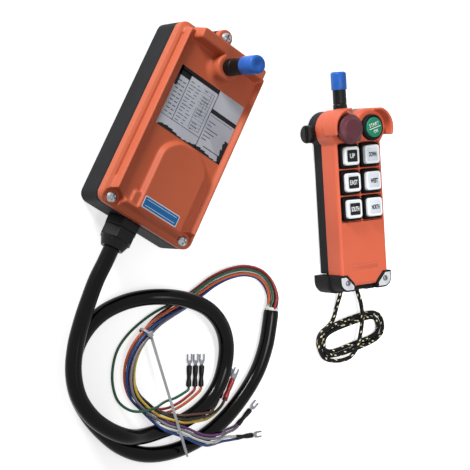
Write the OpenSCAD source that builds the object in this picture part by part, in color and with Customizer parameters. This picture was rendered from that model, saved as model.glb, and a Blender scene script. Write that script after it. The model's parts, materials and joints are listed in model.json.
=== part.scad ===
// Crane radio remote control: a wall-mounted receiver with its multicore lead, and a
// hand-held transmitter with a wrist cord. Millimetres. The origin is the middle of the
// receiver's back face, +Y runs to its antenna end and +Z comes out of its cover.
// Both units lie on their backs on one surface, at z = 0.

/* [Receiver case] */
// Width of the receiver's case
rx_w = 107; // [98:1:122]
// Length of the receiver's case, without its ear and gland
rx_l = 186; // [180:1:206]
// Height of the black base, up to the seam
rx_base_h = 31; // [30:0.5:36]
// Wall of the base and of the cover's skirt
rx_wall = 3.6; // [3.2:0.2:4.2]
// Floor of the base
rx_floor = 3.2; // [2.6:0.2:4]
// Radius of the case's four corners
rx_corner_r = 9; // [7:0.5:12]
// Bevel round the back edge
rx_back_bevel = 2; // [1:0.5:3]
// Height of the cover's upright skirt
rx_skirt_h = 8; // [7:0.5:11]
// Width of the sloping ledge above the skirt
rx_ledge_w = 5; // [4:0.5:6]
// Rise of the ledge over its width
rx_ledge_rise = 3.5; // [2.5:0.5:4]
// Rise of the rim above the ledge
rx_rim_rise = 8; // [7:0.5:10]
// How far the rim leans in over its rise
rx_rim_lean = 2; // [1:0.5:3]
// Depth of the tray inside the rim
rx_tray_drop = 4; // [3:0.5:5]
// Thickness of the cover over the tray
rx_top_wall = 3; // [2.5:0.5:3.5]

/* [Receiver cover shapes] */
// Width of the arched dome at the gland end
dome_w = 42; // [36:1:48]
// Length of the dome, from the cover's lower rim to the top of the arch
dome_l = 77; // [66:1:84]
// Height of the dome above the tray
dome_h = 5.5; // [4.5:0.5:7]
// Width of the low step across the dome's foot
step_w = 61; // [56:1:66]
// Length of the low step
step_l = 17; // [13:1:20]
// Height of the low step above the tray
step_h = 3; // [2:0.5:4]
// Width of the block across the antenna end
block_w = 83; // [76:1:86]
// Length of the block across the antenna end
block_l = 13; // [11:0.5:15]
// Height of the block above the tray
block_h = 13.5; // [11:0.5:15]
// Radius of the boss that carries the antenna
boss_r = 12.5; // [12:0.5:14]
// Radius of the cover's ear at the antenna end
ear_r = 8; // [7.5:0.5:9]
// Distance of the ear's screw beyond the case
ear_out = 8.5; // [8:0.5:11]

/* [Receiver fittings] */
// Diameter of the cover screws
cover_screw_d = 4; // [3.5:0.5:5]
// Diameter of the cover screws' heads
cover_screw_head_d = 10; // [9:0.5:11]
// Diameter of the receiver's antenna stub
rx_antenna_d = 16; // [14:0.5:17]
// Length of the stub below its cap
rx_antenna_l = 29; // [20:1:32]
// Diameter of the antenna's blue cap
rx_cap_d = 17.4; // [17.2:0.2:18.4]
// Length of the antenna's blue cap
rx_cap_l = 20; // [15:1:24]
// Spacing of the mounting holes across the back
mount_hole_x = 50; // [40:1:54]
// Spacing of the mounting holes along the back
mount_hole_y = 150; // [140:1:154]
// Diameter of the mounting holes
mount_hole_d = 5; // [4:0.5:6]

/* [Cable gland and lead] */
// Diameter of the multicore lead
cable_d = 15; // [12:0.5:15]
// Distance of the gland from the middle of the end wall
gland_x = -8.5; // [-14:0.5:10]
// Height of the gland's middle above the back
gland_z = 17; // [16.5:0.5:17.5]
// Diameter of the gland's thread
gland_thread_d = 22.5; // [22:0.5:24]
// Width across the flats of the gland
gland_af = 30; // [28:0.5:31]
// Length of the gland outside the wall
gland_l = 28; // [26:1:34]
// Diameter of one wire
wire_d = 2.6; // [2:0.1:2.6]
// Diameter of a sleeve on a terminal
sleeve_d = 5.4; // [5.2:0.1:5.6]
// Length of a sleeve on a terminal
sleeve_l = 20; // [16:1:22]

/* [Transmitter case] */
// Width of the transmitter's body
tx_w = 60; // [58:0.5:64]
// Length of the transmitter's body, up to the head between the horns
tx_l = 171; // [169:1:180]
// Height of the black rear shell
tx_rear_h = 16; // [15:0.5:19]
// Height of the orange front shell
tx_front_h = 22; // [21:0.5:25]
// Wall of both shells
tx_wall = 2.6; // [2.2:0.2:3]
// Radius of the head round each round button
tx_head_r = 19.5; // [19:0.5:21]
// Height of the horns above the front face
horn_h = 12; // [9:0.5:14]
// Thickness of the horns
horn_t = 2.6; // [2:0.2:3.2]

/* [Transmitter controls] */
// Side of a square key
key_w = 18.5; // [16:0.5:19]
// Spacing of the keys, across and along
key_pitch = 26.3; // [25.5:0.1:27]
// Travel of a key
key_travel = 2.5; // [1.5:0.5:2.5]
// Diameter of the stop button's head
stop_d = 30; // [27:0.5:32]
// Travel of the stop button
stop_travel = 4; // [3:0.5:4]
// Diameter of the start button's cap
start_d = 20; // [18:0.5:21]
// Travel of the start button
start_travel = 3; // [2:0.5:3]
// Diameter of the key switch's knob
knob_d = 18; // [16:0.5:19]
// Length of the key switch's knob
knob_l = 8; // [6:0.5:10]
// Diameter of the transmitter's antenna stub
tx_antenna_d = 14; // [12:0.5:15]
// Length of the stub below its cap
tx_antenna_l = 32; // [24:1:36]
// Length of the transmitter's blue cap
tx_cap_l = 18; // [14:1:22]
// Diameter of the wrist cord
cord_d = 4.2; // [3.6:0.2:4.2]

/* [Hidden] */

$fn = 64;
// Facets of the corners that are blended between two levels
blend_fn = 32;
// Length by which a cut runs past a face
overrun = 1;
// Thickness of the thin slices that blends run between
slice_t = 0.01;
// Gap between pieces that slide past each other loosely
slide_gap = 0.3;
// Gap between pieces that lie in a pocket
pocket_gap = 0.1;
// Radial gap of a turning or sliding shaft in its bore
running_gap = 0.05;

// Levels of the receiver, from its back
rx_flange_z = rx_base_h + rx_skirt_h;
rx_ledge_z = rx_flange_z + rx_ledge_rise;
rx_crest_z = rx_ledge_z + rx_rim_rise;
rx_tray_z = rx_crest_z - rx_tray_drop;
rx_dome_z = rx_tray_z + dome_h;
rx_step_z = rx_tray_z + step_h;
rx_block_z = rx_tray_z + block_h;
// Insets of the cover's edges from the case's side
rx_crest_in = rx_ledge_w + rx_rim_lean;
rx_crest_w = 1.5;
rx_tray_slope = 4;
rx_tray_in = rx_crest_in + rx_crest_w + rx_tray_slope;
// Cavity under the tray
rx_cavity_in = rx_crest_in + rx_crest_w;
rx_cavity_z = rx_tray_z - rx_top_wall;

// Cover screws: two in the lower corners, one in the ear
corner_screw_in = 11;
corner_screw_up = 6.5;
corner_screw_x = rx_w/2 - corner_screw_in;
corner_screw_y = -rx_l/2 + corner_screw_up;
ear_x = -4;
ear_y = rx_l/2 + ear_out;
cover_screw_places = [[-corner_screw_x, corner_screw_y], [corner_screw_x, corner_screw_y],
    [ear_x, ear_y]];
cover_screw_head_h = 3.4;
cover_screw_l = 22;
cover_screw_play = 0.3;
notch_margin = 3.4;
notch_r = cover_screw_head_d/2 + notch_margin;
screw_post_wall = 3;
screw_post_r = cover_screw_d/2 + screw_post_wall;
ear_depth = 16;
recess_w_share = 0.16;
recess_l_share = 0.62;
recess_depth_share = 0.5;
// Outline of a pan head, as shares of its diameter and its height
screw_head_shares = [[0, 0], [0.5, 0], [0.5, 0.35], [0.44, 0.72], [0.32, 0.94], [0, 1]];

// Groove along the foot of the rim on both long sides
groove_d = 2.4;
groove_low_end = 25;
groove_high_end = 13;

// Dome, step and block on the tray
dome_lean = 3;
step_lean = 2.4;
block_lean = 2.6;
block_r = 4;
block_edge = 1.4;
block_hollow_r = 1.5;
block_y = rx_l/2 - block_l/2 - block_edge;
boss_fillet_r = 5;
boss_fillet_step = 15;
shape_r = 3;
antenna_x = 0.5;
antenna_from_end = 22;
antenna_y = rx_l/2 - antenna_from_end;

// Inside the receiver
gasket_w = 1.6;
gasket_t = 1.6;
antenna_rod_d = 8;
antenna_nut_t = 3;
antenna_nut_af = 14;
antenna_collar_h = 3;
cap_lap = 4;
cap_edge_share = 0.14;
cap_dimple_share = 0.3;
mount_boss_r = 6;
mount_boss_h = 8.5;
board_z = 10.6;
board_t = 1.6;
board_side_gap = 5.9;
board_low_gap = 21.4;
board_high_gap = 9.4;
board_w = rx_w - 2*rx_wall - 2*board_side_gap;
board_l = rx_l - 2*rx_wall - board_low_gap - board_high_gap;
board_y = (board_low_gap - board_high_gap)/2;
board_low = board_y - board_l/2;
board_high = board_y + board_l/2;
board_post_r = 3.5;
board_post_in = 5;
board_post_x = board_w/2 - board_post_in;
board_post_y = board_l/2 - board_post_in;
board_screw_d = 2.8;
board_screw_head_d = 5.6;
board_screw_head_h = 2;
board_screw_l = 6;
relay_w = 19;
relay_l = 15.4;
relay_h = 15.4;
relay_gap = 1.4;
transformer_w = 34;
transformer_l = 28;
transformer_h = 26;
strip_ways = 14;
strip_pitch = 5;
strip_l = 9;
strip_h = 11;
strip_screw_d = 3;
radio_w = 26;
radio_l = 38;
radio_h = 6;

// Places on the board, from its edges
relay_in = 4;
relay_up = 28;
strip_up = 6;
transformer_x = 4;
transformer_down = 18;
radio_down = 8;
winding_out = 3;
relay_x = board_w/2 - relay_in;
relay_y = board_low + relay_up;
strip_y = board_low + strip_up;
transformer_y = board_high - transformer_down - transformer_l;
radio_y = board_high - radio_down - radio_l;
relay_rows = floor((radio_y - relay_y)/(relay_l + relay_gap));

// Gland, outwards from the end wall's outer face
gland_hex_share = 0.32;
gland_neck_share = 0.28;
gland_dome_share = 0.3;
gland_seal_share = 0.2;
gland_hex_l = gland_l*gland_hex_share;
gland_neck_l = gland_l*gland_neck_share;
gland_dome_l = gland_l*gland_dome_share;
gland_seat_gap = 0.2;
gland_neck_wall = 0.5;
gland_neck_d = gland_thread_d + 2*gland_neck_wall;
gland_end_wall = 3;
gland_dome_end_d = cable_d + 2*gland_end_wall;
gland_dome_in = 0.5;
gland_flute_lift = 0.6;
gland_flutes = 12;
gland_flute_d = 2.4;
gland_tail = 2;
gland_locknut_t = 5;
gland_locknut_wall = 2.25;
gland_locknut_af = gland_thread_d + 2*gland_locknut_wall;
gland_play = 0.2;
seal_l = gland_l*gland_seal_share;
seal_wall = 3;
seal_out_d = cable_d + 2*seal_wall;
seal_taper = 2;
gland_nut_in = 0.5;
gland_nut_af = gland_af - 2*gland_nut_in;
inlet_tail = 20;

// Forks on the wires' ends
fork_w = 6.4;
fork_l = 9;
fork_t = 0.8;
fork_slot_w = 3.2;
fork_slot_l = 6.4;
fork_neck_w = 3.6;
fork_neck_l = 3;
sleeve_edge = 0.4;
// Each terminal: x and y of the sleeve's rear face, its height and its heading
terminal_places = [[137, -194, 2.8, 116], [143.4, -191, 2.8, 116], [149.8, -188, 2.8, 116],
    [174.4, -189, 2.8, 92], [181.2, -189, 2.8, 92], [177.8, -187, 7.4, 92],
    [207, -203, 2.8, 70], [211, -215, 2.8, 30]];
black_sleeves = [0, 1, 2, 3, 6, 7];
red_sleeves = [4, 5];

// Route of the lead, from the gland to the end of its sheath
cable_exit = [gland_x, -rx_l/2 - gland_l, gland_z];
cable_route = concat([cable_exit, cable_exit - [0, cable_d, 0]], [
    [-9, -152, 17], [-8, -172, 18], [-6, -194, 19.5], [-2, -216, 21.2], [7, -237, 21.6],
    [22, -254, 22.4], [42, -264, 23.4], [63, -267, 23.4], [84, -265, 21.5],
    [106, -257, 12], [125, -244, 7.6], [142, -228, 7.6], [156, -209, 7.6], [164, -187, 7.6],
    [163, -164, 7.6], [152, -143, 11.5], [134, -130, 17], [113, -124, 20.2],
    [92, -125, 20.2], [71, -131, 16], [50, -142, 10], [31, -157, 7.6], [16, -175, 7.6],
    [8, -195, 7.6], [7, -216, 7.6], [14, -234, 7.6], [27, -250, 7.6], [46, -262, 7.6],
    [68, -270, 7.6], [92, -274, 7.6], [117, -271, 7.6], [143, -258, 7.6], [166, -237, 7.6],
    [184, -210, 7.6], [195, -180, 7.6], [200, -150, 7.6], [198, -124, 7.6],
    [192, -103, 7.6], [187, -89, 7.6]]);

// Route of the middle of the bundle of wires, from the end of the sheath
bundle_route = [
    [187, -89, 7.6], [186, -86.2, 7.6], [182.8, -77.2, 7.6], [173, -68, 6.8], [159, -64, 6.2],
    [142, -68, 6], [126, -79, 6], [112, -95, 6], [102, -112, 6], [92, -128, 6],
    [82, -142, 6], [73, -156, 6.4], [67, -171, 7.2], [64, -187, 6.6], [66, -203, 6],
    [73, -217, 6], [84, -227, 6.2], [98, -231, 7]];

// Lay of the wires in the bundle: outer and inner radius, and the turn over its length
outer_lay_r = 4.6;
inner_lay_r = 1.7;
bundle_turn = 250;

// Each wire: its radius and angle in the bundle's end, how many bundle points it follows,
// its terminal, its side step there in diameters, and its own last points
wire_black = [outer_lay_r, 32, 18, 5, 0, [
    [111, -229.5, 11], [123.5, -229, 14.8], [136, -226, 18.6], [147.5, -219.8, 19.8],
    [157.5, -214, 18.5], [166, -208.5, 13.5], [173, -202, 9.5], [177, -195.5, 7.6]]];
wire_brown = [inner_lay_r, 30, 18, 3, 0, [
    [112, -229, 7.2], [124, -226.5, 11.5], [135, -223, 16.4], [146, -217, 17.2],
    [156, -211.5, 17], [164, -206.5, 15], [170, -201.5, 7.5], [173.6, -196, 3.6]]];
wire_red = [outer_lay_r, 340, 18, 1, 0, [
    [112, -227.5, 2.6], [124, -222.5, 1.6], [134, -213, 1.6], [141, -202, 2.2]]];
wire_orange = [outer_lay_r, 238, 18, 2, 0, [
    [112, -231.5, 2], [126, -226, 1.6], [137.5, -215, 1.6], [146, -202, 2.2]]];
wire_yellow = [outer_lay_r, 83, 18, 4, 0, [
    [111, -233, 13.4], [125, -231.4, 17.8], [138, -228.5, 17.6], [149.5, -222.6, 17.4],
    [160, -216.5, 15.5], [168.5, -211.5, 8.5], [175.5, -205, 4.2], [179.6, -198, 2.8]]];
wire_green = [outer_lay_r, 289, 10, 0, 0, [
    [78, -137, 4.6], [68, -150, 3], [60, -164, 1.8], [53, -180, 1.6], [50, -196, 1.6],
    [53, -212, 1.6], [61, -227, 1.6], [73, -238, 3], [86, -240.5, 8.5], [96, -235.5, 15],
    [105, -228, 15.4], [113, -221.5, 9], [120.5, -216, 3.5], [128.5, -210, 1.6],
    [135, -202, 2]]];
wire_blue = [outer_lay_r, 186, 18, 7, -0.52, [
    [107, -239, 9.5], [116, -242.2, 15.2], [124, -243.3, 18.3], [135, -241.6, 18.2],
    [148, -240.2, 17.8], [161, -239.5, 17.6], [173, -237.2, 16.5], [184, -232.4, 10.5],
    [193, -227.4, 5], [200, -223.2, 2.8], [206, -219.7, 2.8]]];
wire_violet = [inner_lay_r, 150, 18, 6, 0.52, [
    [108, -233, 9.6], [116, -234, 11.8], [124, -234.8, 16.5], [135, -232.8, 18],
    [148, -231.4, 17.6], [161, -230.5, 17.6], [172, -227.4, 17], [182, -222, 16.5],
    [188.5, -218.5, 11], [196, -213, 4], [203, -207.2, 2.8]]];
wire_grey = [outer_lay_r, 135, 18, 6, -0.52, [
    [108, -236.2, 11], [116, -236.8, 13.6], [124, -237.6, 17.2], [135, -235.6, 18],
    [148, -234.3, 17.6], [161, -233.4, 17.6], [173, -230.3, 17], [183.5, -225, 16.3],
    [190.5, -221, 10.5], [198, -215.4, 4], [205, -209.4, 2.8]]];
wire_white = [inner_lay_r, 270, 18, 7, 0.52, [
    [108, -235.8, 6.2], [116, -240, 12.4], [124, -240.5, 17.6], [135, -238.6, 18.2],
    [148, -237.3, 17.8], [161, -236.4, 17.6], [173, -234, 17], [183, -229.4, 14.5],
    [191, -224.6, 8], [198.5, -220, 3.6], [204.6, -216.6, 2.8]]];

// Tie round the bundle, with its long tail
tie_at = 12;
tie_w = 2.6;
tie_t = 1;
tie_ring_r = outer_lay_r + wire_d/2 + pocket_gap;
tie_head_w = 5;
tie_head_l = 5;
tie_head_h = 3.6;
tie_tail_l = 122;
tie_heading = -44;
tie_climb = 6.5;

// Place of the transmitter beside the receiver
tx_place = [262, -26, 0];
tx_heading = 33;

// Levels and edges of the transmitter, from its back and its lower end
tx_face_z = tx_rear_h + tx_front_h;
tx_low_y = 4;
tx_edge = 2;
horn_root = 8;
corner_slant_share = 0.6;
tx_rear_in = 1;
tx_back_lean = 3;
tx_head_x = 17;
tx_head_from_end = 11;
tx_head_y = tx_l - tx_head_from_end;
tx_head_low = 9;
tx_corner_r = 5;
tx_top_wall = 2.5;
tx_floor = 2.4;
horn_out = 1;
horn_out_r = tx_head_r + horn_out;
stop_horn_from = 84;
stop_horn_to = 196;
start_horn_from = -24;
start_horn_to = 74;
screw_boss_r = 6;

// Keys, their boots and the recess that they stand in
key_cols = 2;
key_rows = 3;
key_from_end = 37.5;
key_top_y = tx_l - key_from_end;
key_gap = slide_gap;
key_r = 3;
key_lift = key_travel + slide_gap;
key_h = 7.2;
key_edge = 0.8;
key_stem_d = 8;
key_stem_play = 0.3;
boot_wall = 2.6;
boot_h = 6.4;
boot_r = 4.4;
boot_w = key_w + 2*key_gap + 2*boot_wall;
recess_margin = 1;
recess_drop = 4;
recess_w = (key_cols - 1)*key_pitch + boot_w + 2*recess_margin;
recess_l = (key_rows - 1)*key_pitch + boot_w + 2*recess_margin;
recess_z = tx_face_z - recess_drop;
rib_w = 1.2;
rib_drop = 0.5;
key_z = recess_z + key_lift;
key_mid_y = key_top_y - (key_rows - 1)*key_pitch/2;
front_roof_z = recess_z - tx_top_wall;
// Places of the keys: up, down, east, west, south, north
key_places = [for (j = [0:key_rows - 1], i = [0:key_cols - 1])
    [(i - 0.5)*key_pitch, key_top_y - j*key_pitch]];

// Bare raised name place
plate_w = 36.7;
plate_l = 6.6;
plate_y = 22;
plate_depth = 0.5;

// Round buttons
stop_at = [-tx_head_x, tx_head_y];
start_at = [tx_head_x, tx_head_y];
collar_d = 22;
collar_h = 2.6;
collar_tube_d = 15;
collar_tube_l = 8;
stop_stem_d = 9;
// The pressed head stays clear of the keys' boots
stop_clear = 0.4;
stop_lift = stop_travel + boot_h - recess_drop + stop_clear;
stop_h = 8;
stop_z = tx_face_z + stop_lift;
stop_socket_l = 2.6;
stop_rim_h = 3;
stop_rim_t = 3;
// Outline of the head, as shares of its radius and its height
stop_head_shares = [[0, 0], [0.95, 0], [1, 0.12], [1, 0.42], [0.93, 0.66], [0.76, 0.85],
    [0.45, 0.96], [0, 1]];
bezel_wall = 3;
bezel_d = start_d + 2*bezel_wall;
bezel_h = 5.6;
bezel_edge = 1.4;
start_clear = 0.4;
start_lift = start_travel + start_clear;
start_h = 3.6;
start_edge = 0.8;
start_stem_d = 8;

// Antenna of the transmitter
tx_antenna_x = -9;
tx_antenna_up = 8;
tx_antenna_z = tx_rear_h + tx_antenna_up;
tx_antenna_seat_y = tx_l;
tx_antenna_rod_d = 6;
tx_antenna_rod_l = 4.5;
antenna_socket_wall = 2.6;
antenna_socket_back = 2.6;
cap_wall = 0.8;
tx_cap_d = tx_antenna_d + 2*cap_wall;

// Key switch on the side of the head
knob_floor_gap = 0.2;
knob_down = 3;
knob_z = knob_d/2 + knob_floor_gap;
knob_y = tx_head_y - knob_down;
knob_gap = 0.3;
knob_grip_w = 3.4;
knob_grip_h = 2;
barrel_d = 11;
barrel_l = 14;
barrel_flange_d = 13;
barrel_seat = 1.9;
barrel_flange_t = 1.6;
knob_shaft_d = 5;
knob_shaft_l = 9;
side_x = -tx_head_x - tx_head_r;

// Rubber bumper round the lower end
bumper_x = 33.5;
bumper_low = 1;
bumper_high = 15.4;
bumper_in_x = 14.7;
bumper_slant = 8.6;
bumper_play = 0.1;
bumper_r = 10;
bumper_z = 0.4;
bumper_proud = 0.8;
bumper_top_z = tx_face_z + bumper_proud;
bumper_swell = 2.4;
bumper_swell_z = 20;
bumper_bar_z = 4;
bumper_bar_h = 26;
corner_plate_in = 1.7;
corner_plate_t = 0.8;
case_screw_x = 24.3;
case_screw_y = 8;
case_screw_d = 3;
case_screw_head_d = 5.6;
case_screw_head_h = 1.8;
case_screw_l = 20;
centre_screw_l = 28;
centre_screw_head_d = 6.6;
centre_screw_from_end = 19;
centre_screw_y = tx_l - centre_screw_from_end;
centre_post_r = 4;

// Inside the transmitter
tx_board_t = 1.6;
tx_board_side_gap = 2.4;
tx_board_w = tx_w - 2*tx_wall - 2*tx_board_side_gap;
tx_board_tail = 7;
tx_board_low = key_mid_y - key_pitch - tx_board_tail;
tx_board_from_end = 8;
tx_board_high = tx_l - tx_board_from_end;
tx_board_seat = 0.6;
tx_board_z = tx_rear_h + tx_board_seat;
tx_post_r = 3;
tx_post_in = 4;
tx_post_x = tx_board_w/2 - tx_post_in;
switch_w = 12;
switch_body_h = 5;
plunger_drop = 12;
plunger_z = tx_face_z - plunger_drop;
stem_clear = 0.2;
switch_plunger_d = 5;
battery_d = 14.3;
battery_l = 50;
battery_cap_d = 5.4;
battery_cap_l = 1;
battery_gap = 0.6;
battery_low = 17;
battery_z = tx_floor + battery_d/2 + pocket_gap;
contact_t = 0.6;
contact_w = 11;
battery_lid_w = 40;
battery_lid_low = 18;
battery_lid_l = 52;
lid_ledge = 2;
contact_low_y = battery_low - contact_t - pocket_gap;
contact_high_y = battery_low + battery_l + battery_cap_l + pocket_gap;

// Wrist cord, in the transmitter's own frame
cord_left = [-10, -bumper_low, 9];
cord_right = [12, -bumper_low, 9];
hank_mid = [4, -50];
hank_turn = 10;
hank_a = 44;
hank_b = 24;
hank_waist = 5;
hank_square_share = 0.05;
hank_step = 5.4;
hank_rise = 4.9;
hank_rest_z = cord_d/2 + pocket_gap;
hank_from = 135;
hank_to = 1310;
hank_rings = 24;
hank_reverse = 630;

// Sides of the tubes
cable_sides = 8;
wire_sides = 8;
cord_sides = 6;

// Direction of a route at one of its points
function unit(v) = v/norm(v);
function heading_at(p, i) = unit(p[min(i + 1, len(p) - 1)] - p[max(i - 1, 0)]);
function left_at(p, i) = unit(cross([0, 0, 1], heading_at(p, i)));
function up_at(p, i) = cross(heading_at(p, i), left_at(p, i));
function beside(p, i, r, a) = p[i] + r*(cos(a)*left_at(p, i) + sin(a)*up_at(p, i));

// Least gap of a tube to itself, between rings that lie more than skip apart
function self_gap(p, d, skip) = min([for (i = [0:len(p) - 1])
    for (j = [i + skip:len(p) - 1]) norm(p[i] - p[j]) - d]);
function route_length(p) = sum_of([for (i = [1:len(p) - 1]) norm(p[i] - p[i - 1])]);
function sum_of(v) = v*[for (i = v) 1];

// A tube swept along points, closed at both ends
module tube(p, d, sides) {
    n = len(p);
    corners = [for (i = [0:n - 1], j = [0:sides - 1]) beside(p, i, d/2, (j + 0.5)*360/sides)];
    walls = [for (i = [0:n - 2], j = [0:sides - 1])
        let (k = (j + 1)%sides, a = i*sides + j, b = i*sides + k)
        each [[a, a + sides, b + sides], [a, b + sides, b]]];
    first_cap = [for (j = [1:sides - 2]) [0, j, j + 1]];
    last = (n - 1)*sides;
    last_cap = [for (j = [1:sides - 2]) [last, last + j + 1, last + j]];
    polyhedron(points = corners, faces = concat(walls, first_cap, last_cap));
}

// Place of a terminal's rear face, and the point one diameter before it
function terminal_heading(t) = [cos(terminal_places[t][3]), sin(terminal_places[t][3]), 0];
function terminal_side(t) = [-sin(terminal_places[t][3]), cos(terminal_places[t][3]), 0];
function terminal_point(t, step) = [for (i = [0:2]) terminal_places[t][i]]
    + step*wire_d*terminal_side(t);
// Whole route of one wire
function lay_angle(w, i) = w[1]
    - bundle_turn*(1 - max(i - 1, 0)/(len(bundle_route) - 2));
function wire_route(w) = concat(
    [for (i = [0:w[2] - 1]) beside(bundle_route, i, w[0], lay_angle(w, i))],
    w[5],
    [terminal_point(w[3], w[4]) - wire_d*terminal_heading(w[3])],
    [terminal_point(w[3], w[4])]);

// Points of the wrist cord's loops, that spiral in on the floor, climb and spiral out again
function hank_swell(q) = hank_step*(hank_reverse - abs(q - hank_reverse))/360;
function hank_climb(q) = hank_rise*max(0, min(1, (q - hank_reverse + 90)/180));
function hank_x(q) = (hank_a - hank_swell(q))
    *(cos(q) - hank_square_share*cos(3*q))/(1 - hank_square_share);
function hank_y(q) = sin(q)*(hank_b - hank_swell(q) - hank_waist*sin(q)*sin(q));
function hank_point(q) = [
    hank_mid[0] + hank_x(q)*cos(hank_turn) - hank_y(q)*sin(hank_turn),
    hank_mid[1] + hank_x(q)*sin(hank_turn) + hank_y(q)*cos(hank_turn),
    hank_rest_z + hank_climb(q)];
cord_route = concat(
    [cord_left, cord_left - [0, cord_d, 0]],
    [[-10.8, -13, 6], [-12, -21, 3.2], [-14, -28, 2.3], [-18, -34, 2.2],
        [-24, -38.6, 2.2]],
    [for (q = [hank_from:360/hank_rings:hank_to]) hank_point(q)],
    [[-21, -73, 8.2], [-13, -73.2, 10.4], [-5, -71, 11.9], [2, -66, 12], [7, -59, 12],
        [10.5, -50, 12], [13, -41, 12], [14.5, -32, 12], [14.7, -25, 11.7],
        [14.3, -17, 10.6], [13, -10, 9.5]],
    [cord_right - [0, cord_d, 0], cord_right]);

// Plan outline with four round corners
module rounded_outline(w, l, r) {
    square([w - 2*r, l], center = true);
    square([w, l - 2*r], center = true);
    for (x = [-1, 1], y = [-1, 1]) translate([x*(w/2 - r), y*(l/2 - r)]) circle(r);
}

module rounded_slab(w, l, h, r) {
    linear_extrude(h) rounded_outline(w, l, r);
}

// Blend between two rounded plans, one h above the other
module blend(w1, l1, r1, w2, l2, r2, h) {
    hull() {
        rounded_slab(w1, l1, slice_t, r1, $fn = blend_fn);
        translate([0, 0, h - slice_t]) rounded_slab(w2, l2, slice_t, r2, $fn = blend_fn);
    }
}

// The receiver's plan, drawn in by an inset
module rx_plan(inset) {
    rounded_outline(rx_w - 2*inset, rx_l - 2*inset, max(rx_corner_r - inset, shape_r));
}

module rx_slice(inset, z, h) {
    translate([0, 0, z]) linear_extrude(h) rx_plan(inset);
}

module rx_blend(in_low, in_high, z, h) {
    translate([0, 0, z])
        blend(rx_w - 2*in_low, rx_l - 2*in_low, max(rx_corner_r - in_low, shape_r),
            rx_w - 2*in_high, rx_l - 2*in_high, max(rx_corner_r - in_high, shape_r), h);
}

// Ear at the antenna end
module ear(z, h) {
    translate([ear_x, ear_y, z]) cylinder(r = ear_r, h = h);
    translate([ear_x - ear_r, rx_l/2 - rx_corner_r/2, z])
        cube([2*ear_r, ear_y - rx_l/2 + rx_corner_r/2, h]);
}

// Cross recess of a screw head, cut from its top
module cross_recess(head_d, head_h, z) {
    w = head_d*recess_w_share;
    l = head_d*recess_l_share;
    depth = head_h*recess_depth_share;
    for (a = [0, 90]) rotate(a) translate([-l/2, -w/2, z - depth]) cube([l, w, depth + overrun]);
}

// Pan-head screw with its head's seat at z = 0
module pan_screw(d, head_d, head_h, shank_l) {
    difference() {
        union() {
            rotate_extrude()
                polygon([for (s = screw_head_shares) [s[0]*head_d, s[1]*head_h]]);
            translate([0, 0, -shank_l]) cylinder(d = d, h = shank_l);
        }
        cross_recess(head_d, head_h, head_h);
    }
}

module rx_base() {
    color([0.17, 0.18, 0.19])
    difference() {
        union() {
            difference() {
                union() {
                    rx_blend(rx_back_bevel, 0, 0, rx_back_bevel);
                    rx_slice(0, rx_back_bevel, rx_base_h - rx_back_bevel);
                    ear(rx_base_h - ear_depth, ear_depth);
                }
                rx_slice(rx_wall, rx_floor, rx_base_h);
            }
            for (x = [-1, 1], y = [-1, 1]) {
                translate([x*mount_hole_x/2, y*mount_hole_y/2, rx_floor/2])
                    cylinder(r = mount_boss_r, h = mount_boss_h - rx_floor/2);
                translate([x*board_post_x, board_y + y*board_post_y, rx_floor/2])
                    cylinder(r = board_post_r, h = board_z - rx_floor/2);
            }
            for (x = [-1, 1])
                translate([x*corner_screw_x, corner_screw_y, rx_floor/2])
                    cylinder(r = screw_post_r, h = rx_base_h - rx_floor/2);
        }
        for (x = [-1, 1], y = [-1, 1]) {
            translate([x*mount_hole_x/2, y*mount_hole_y/2, -overrun])
                cylinder(d = mount_hole_d, h = mount_boss_h - rx_floor/2 + overrun);
            translate([x*board_post_x, board_y + y*board_post_y,
                board_z - board_screw_l + board_t])
                cylinder(d = board_screw_d, h = board_screw_l);
        }
        for (p = cover_screw_places)
            translate([p[0], p[1], rx_flange_z - cover_screw_l - overrun])
                cylinder(d = cover_screw_d, h = cover_screw_l);
        rx_gasket_room();
        translate([gland_x, -rx_l/2 - overrun, gland_z]) rotate([-90, 0, 0])
            cylinder(d = gland_thread_d + 2*gland_play, h = rx_wall + 2*overrun);
    }
}

// Groove in the base's top edge, that the gasket fills
module rx_gasket_ring(play, h) {
    inset = (rx_wall - gasket_w)/2;
    difference() {
        rx_slice(inset - play, rx_base_h - gasket_t, h);
        rx_slice(inset + gasket_w + play, rx_base_h - gasket_t - overrun, h + 2*overrun);
    }
}

module rx_gasket_room() {
    rx_gasket_ring(pocket_gap, gasket_t + overrun);
}

// Seals of the receiver: the gasket round the case and the seal in the gland
module rx_seals() {
    color([0.08, 0.08, 0.08]) {
        rx_gasket_ring(0, gasket_t);
        gland_seal();
    }
}

// Arched dome: straight sides and a round top end, drawn in by an inset
module dome_outline(inset) {
    r = dome_w/2 - inset;
    low = -rx_l/2 + rx_crest_in + inset;
    mid = -rx_l/2 + rx_crest_in + dome_l - dome_w/2;
    translate([0, mid]) circle(r);
    translate([-r, low]) square([2*r, mid - low]);
}

module dome() {
    hull() {
        translate([0, 0, rx_cavity_z]) linear_extrude(slice_t)
            dome_outline(0, $fn = blend_fn);
        translate([0, 0, rx_tray_z]) linear_extrude(slice_t) dome_outline(0, $fn = blend_fn);
        translate([0, 0, rx_dome_z - slice_t]) linear_extrude(slice_t)
            dome_outline(dome_lean, $fn = blend_fn);
    }
}

module step() {
    translate([0, -rx_l/2 + rx_crest_in + step_l/2, rx_cavity_z])
        blend(step_w, step_l, shape_r, step_w - 2*step_lean, step_l - 2*step_lean, shape_r,
            rx_step_z - rx_cavity_z);
}

module antenna_block() {
    translate([0, block_y, rx_cavity_z])
        blend(block_w, block_l, block_r, block_w - 2*block_lean, block_l - block_lean,
            block_r - block_edge, rx_block_z - rx_cavity_z);
    translate([antenna_x, antenna_y, 0]) rotate_extrude() antenna_boss_profile();
}

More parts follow.
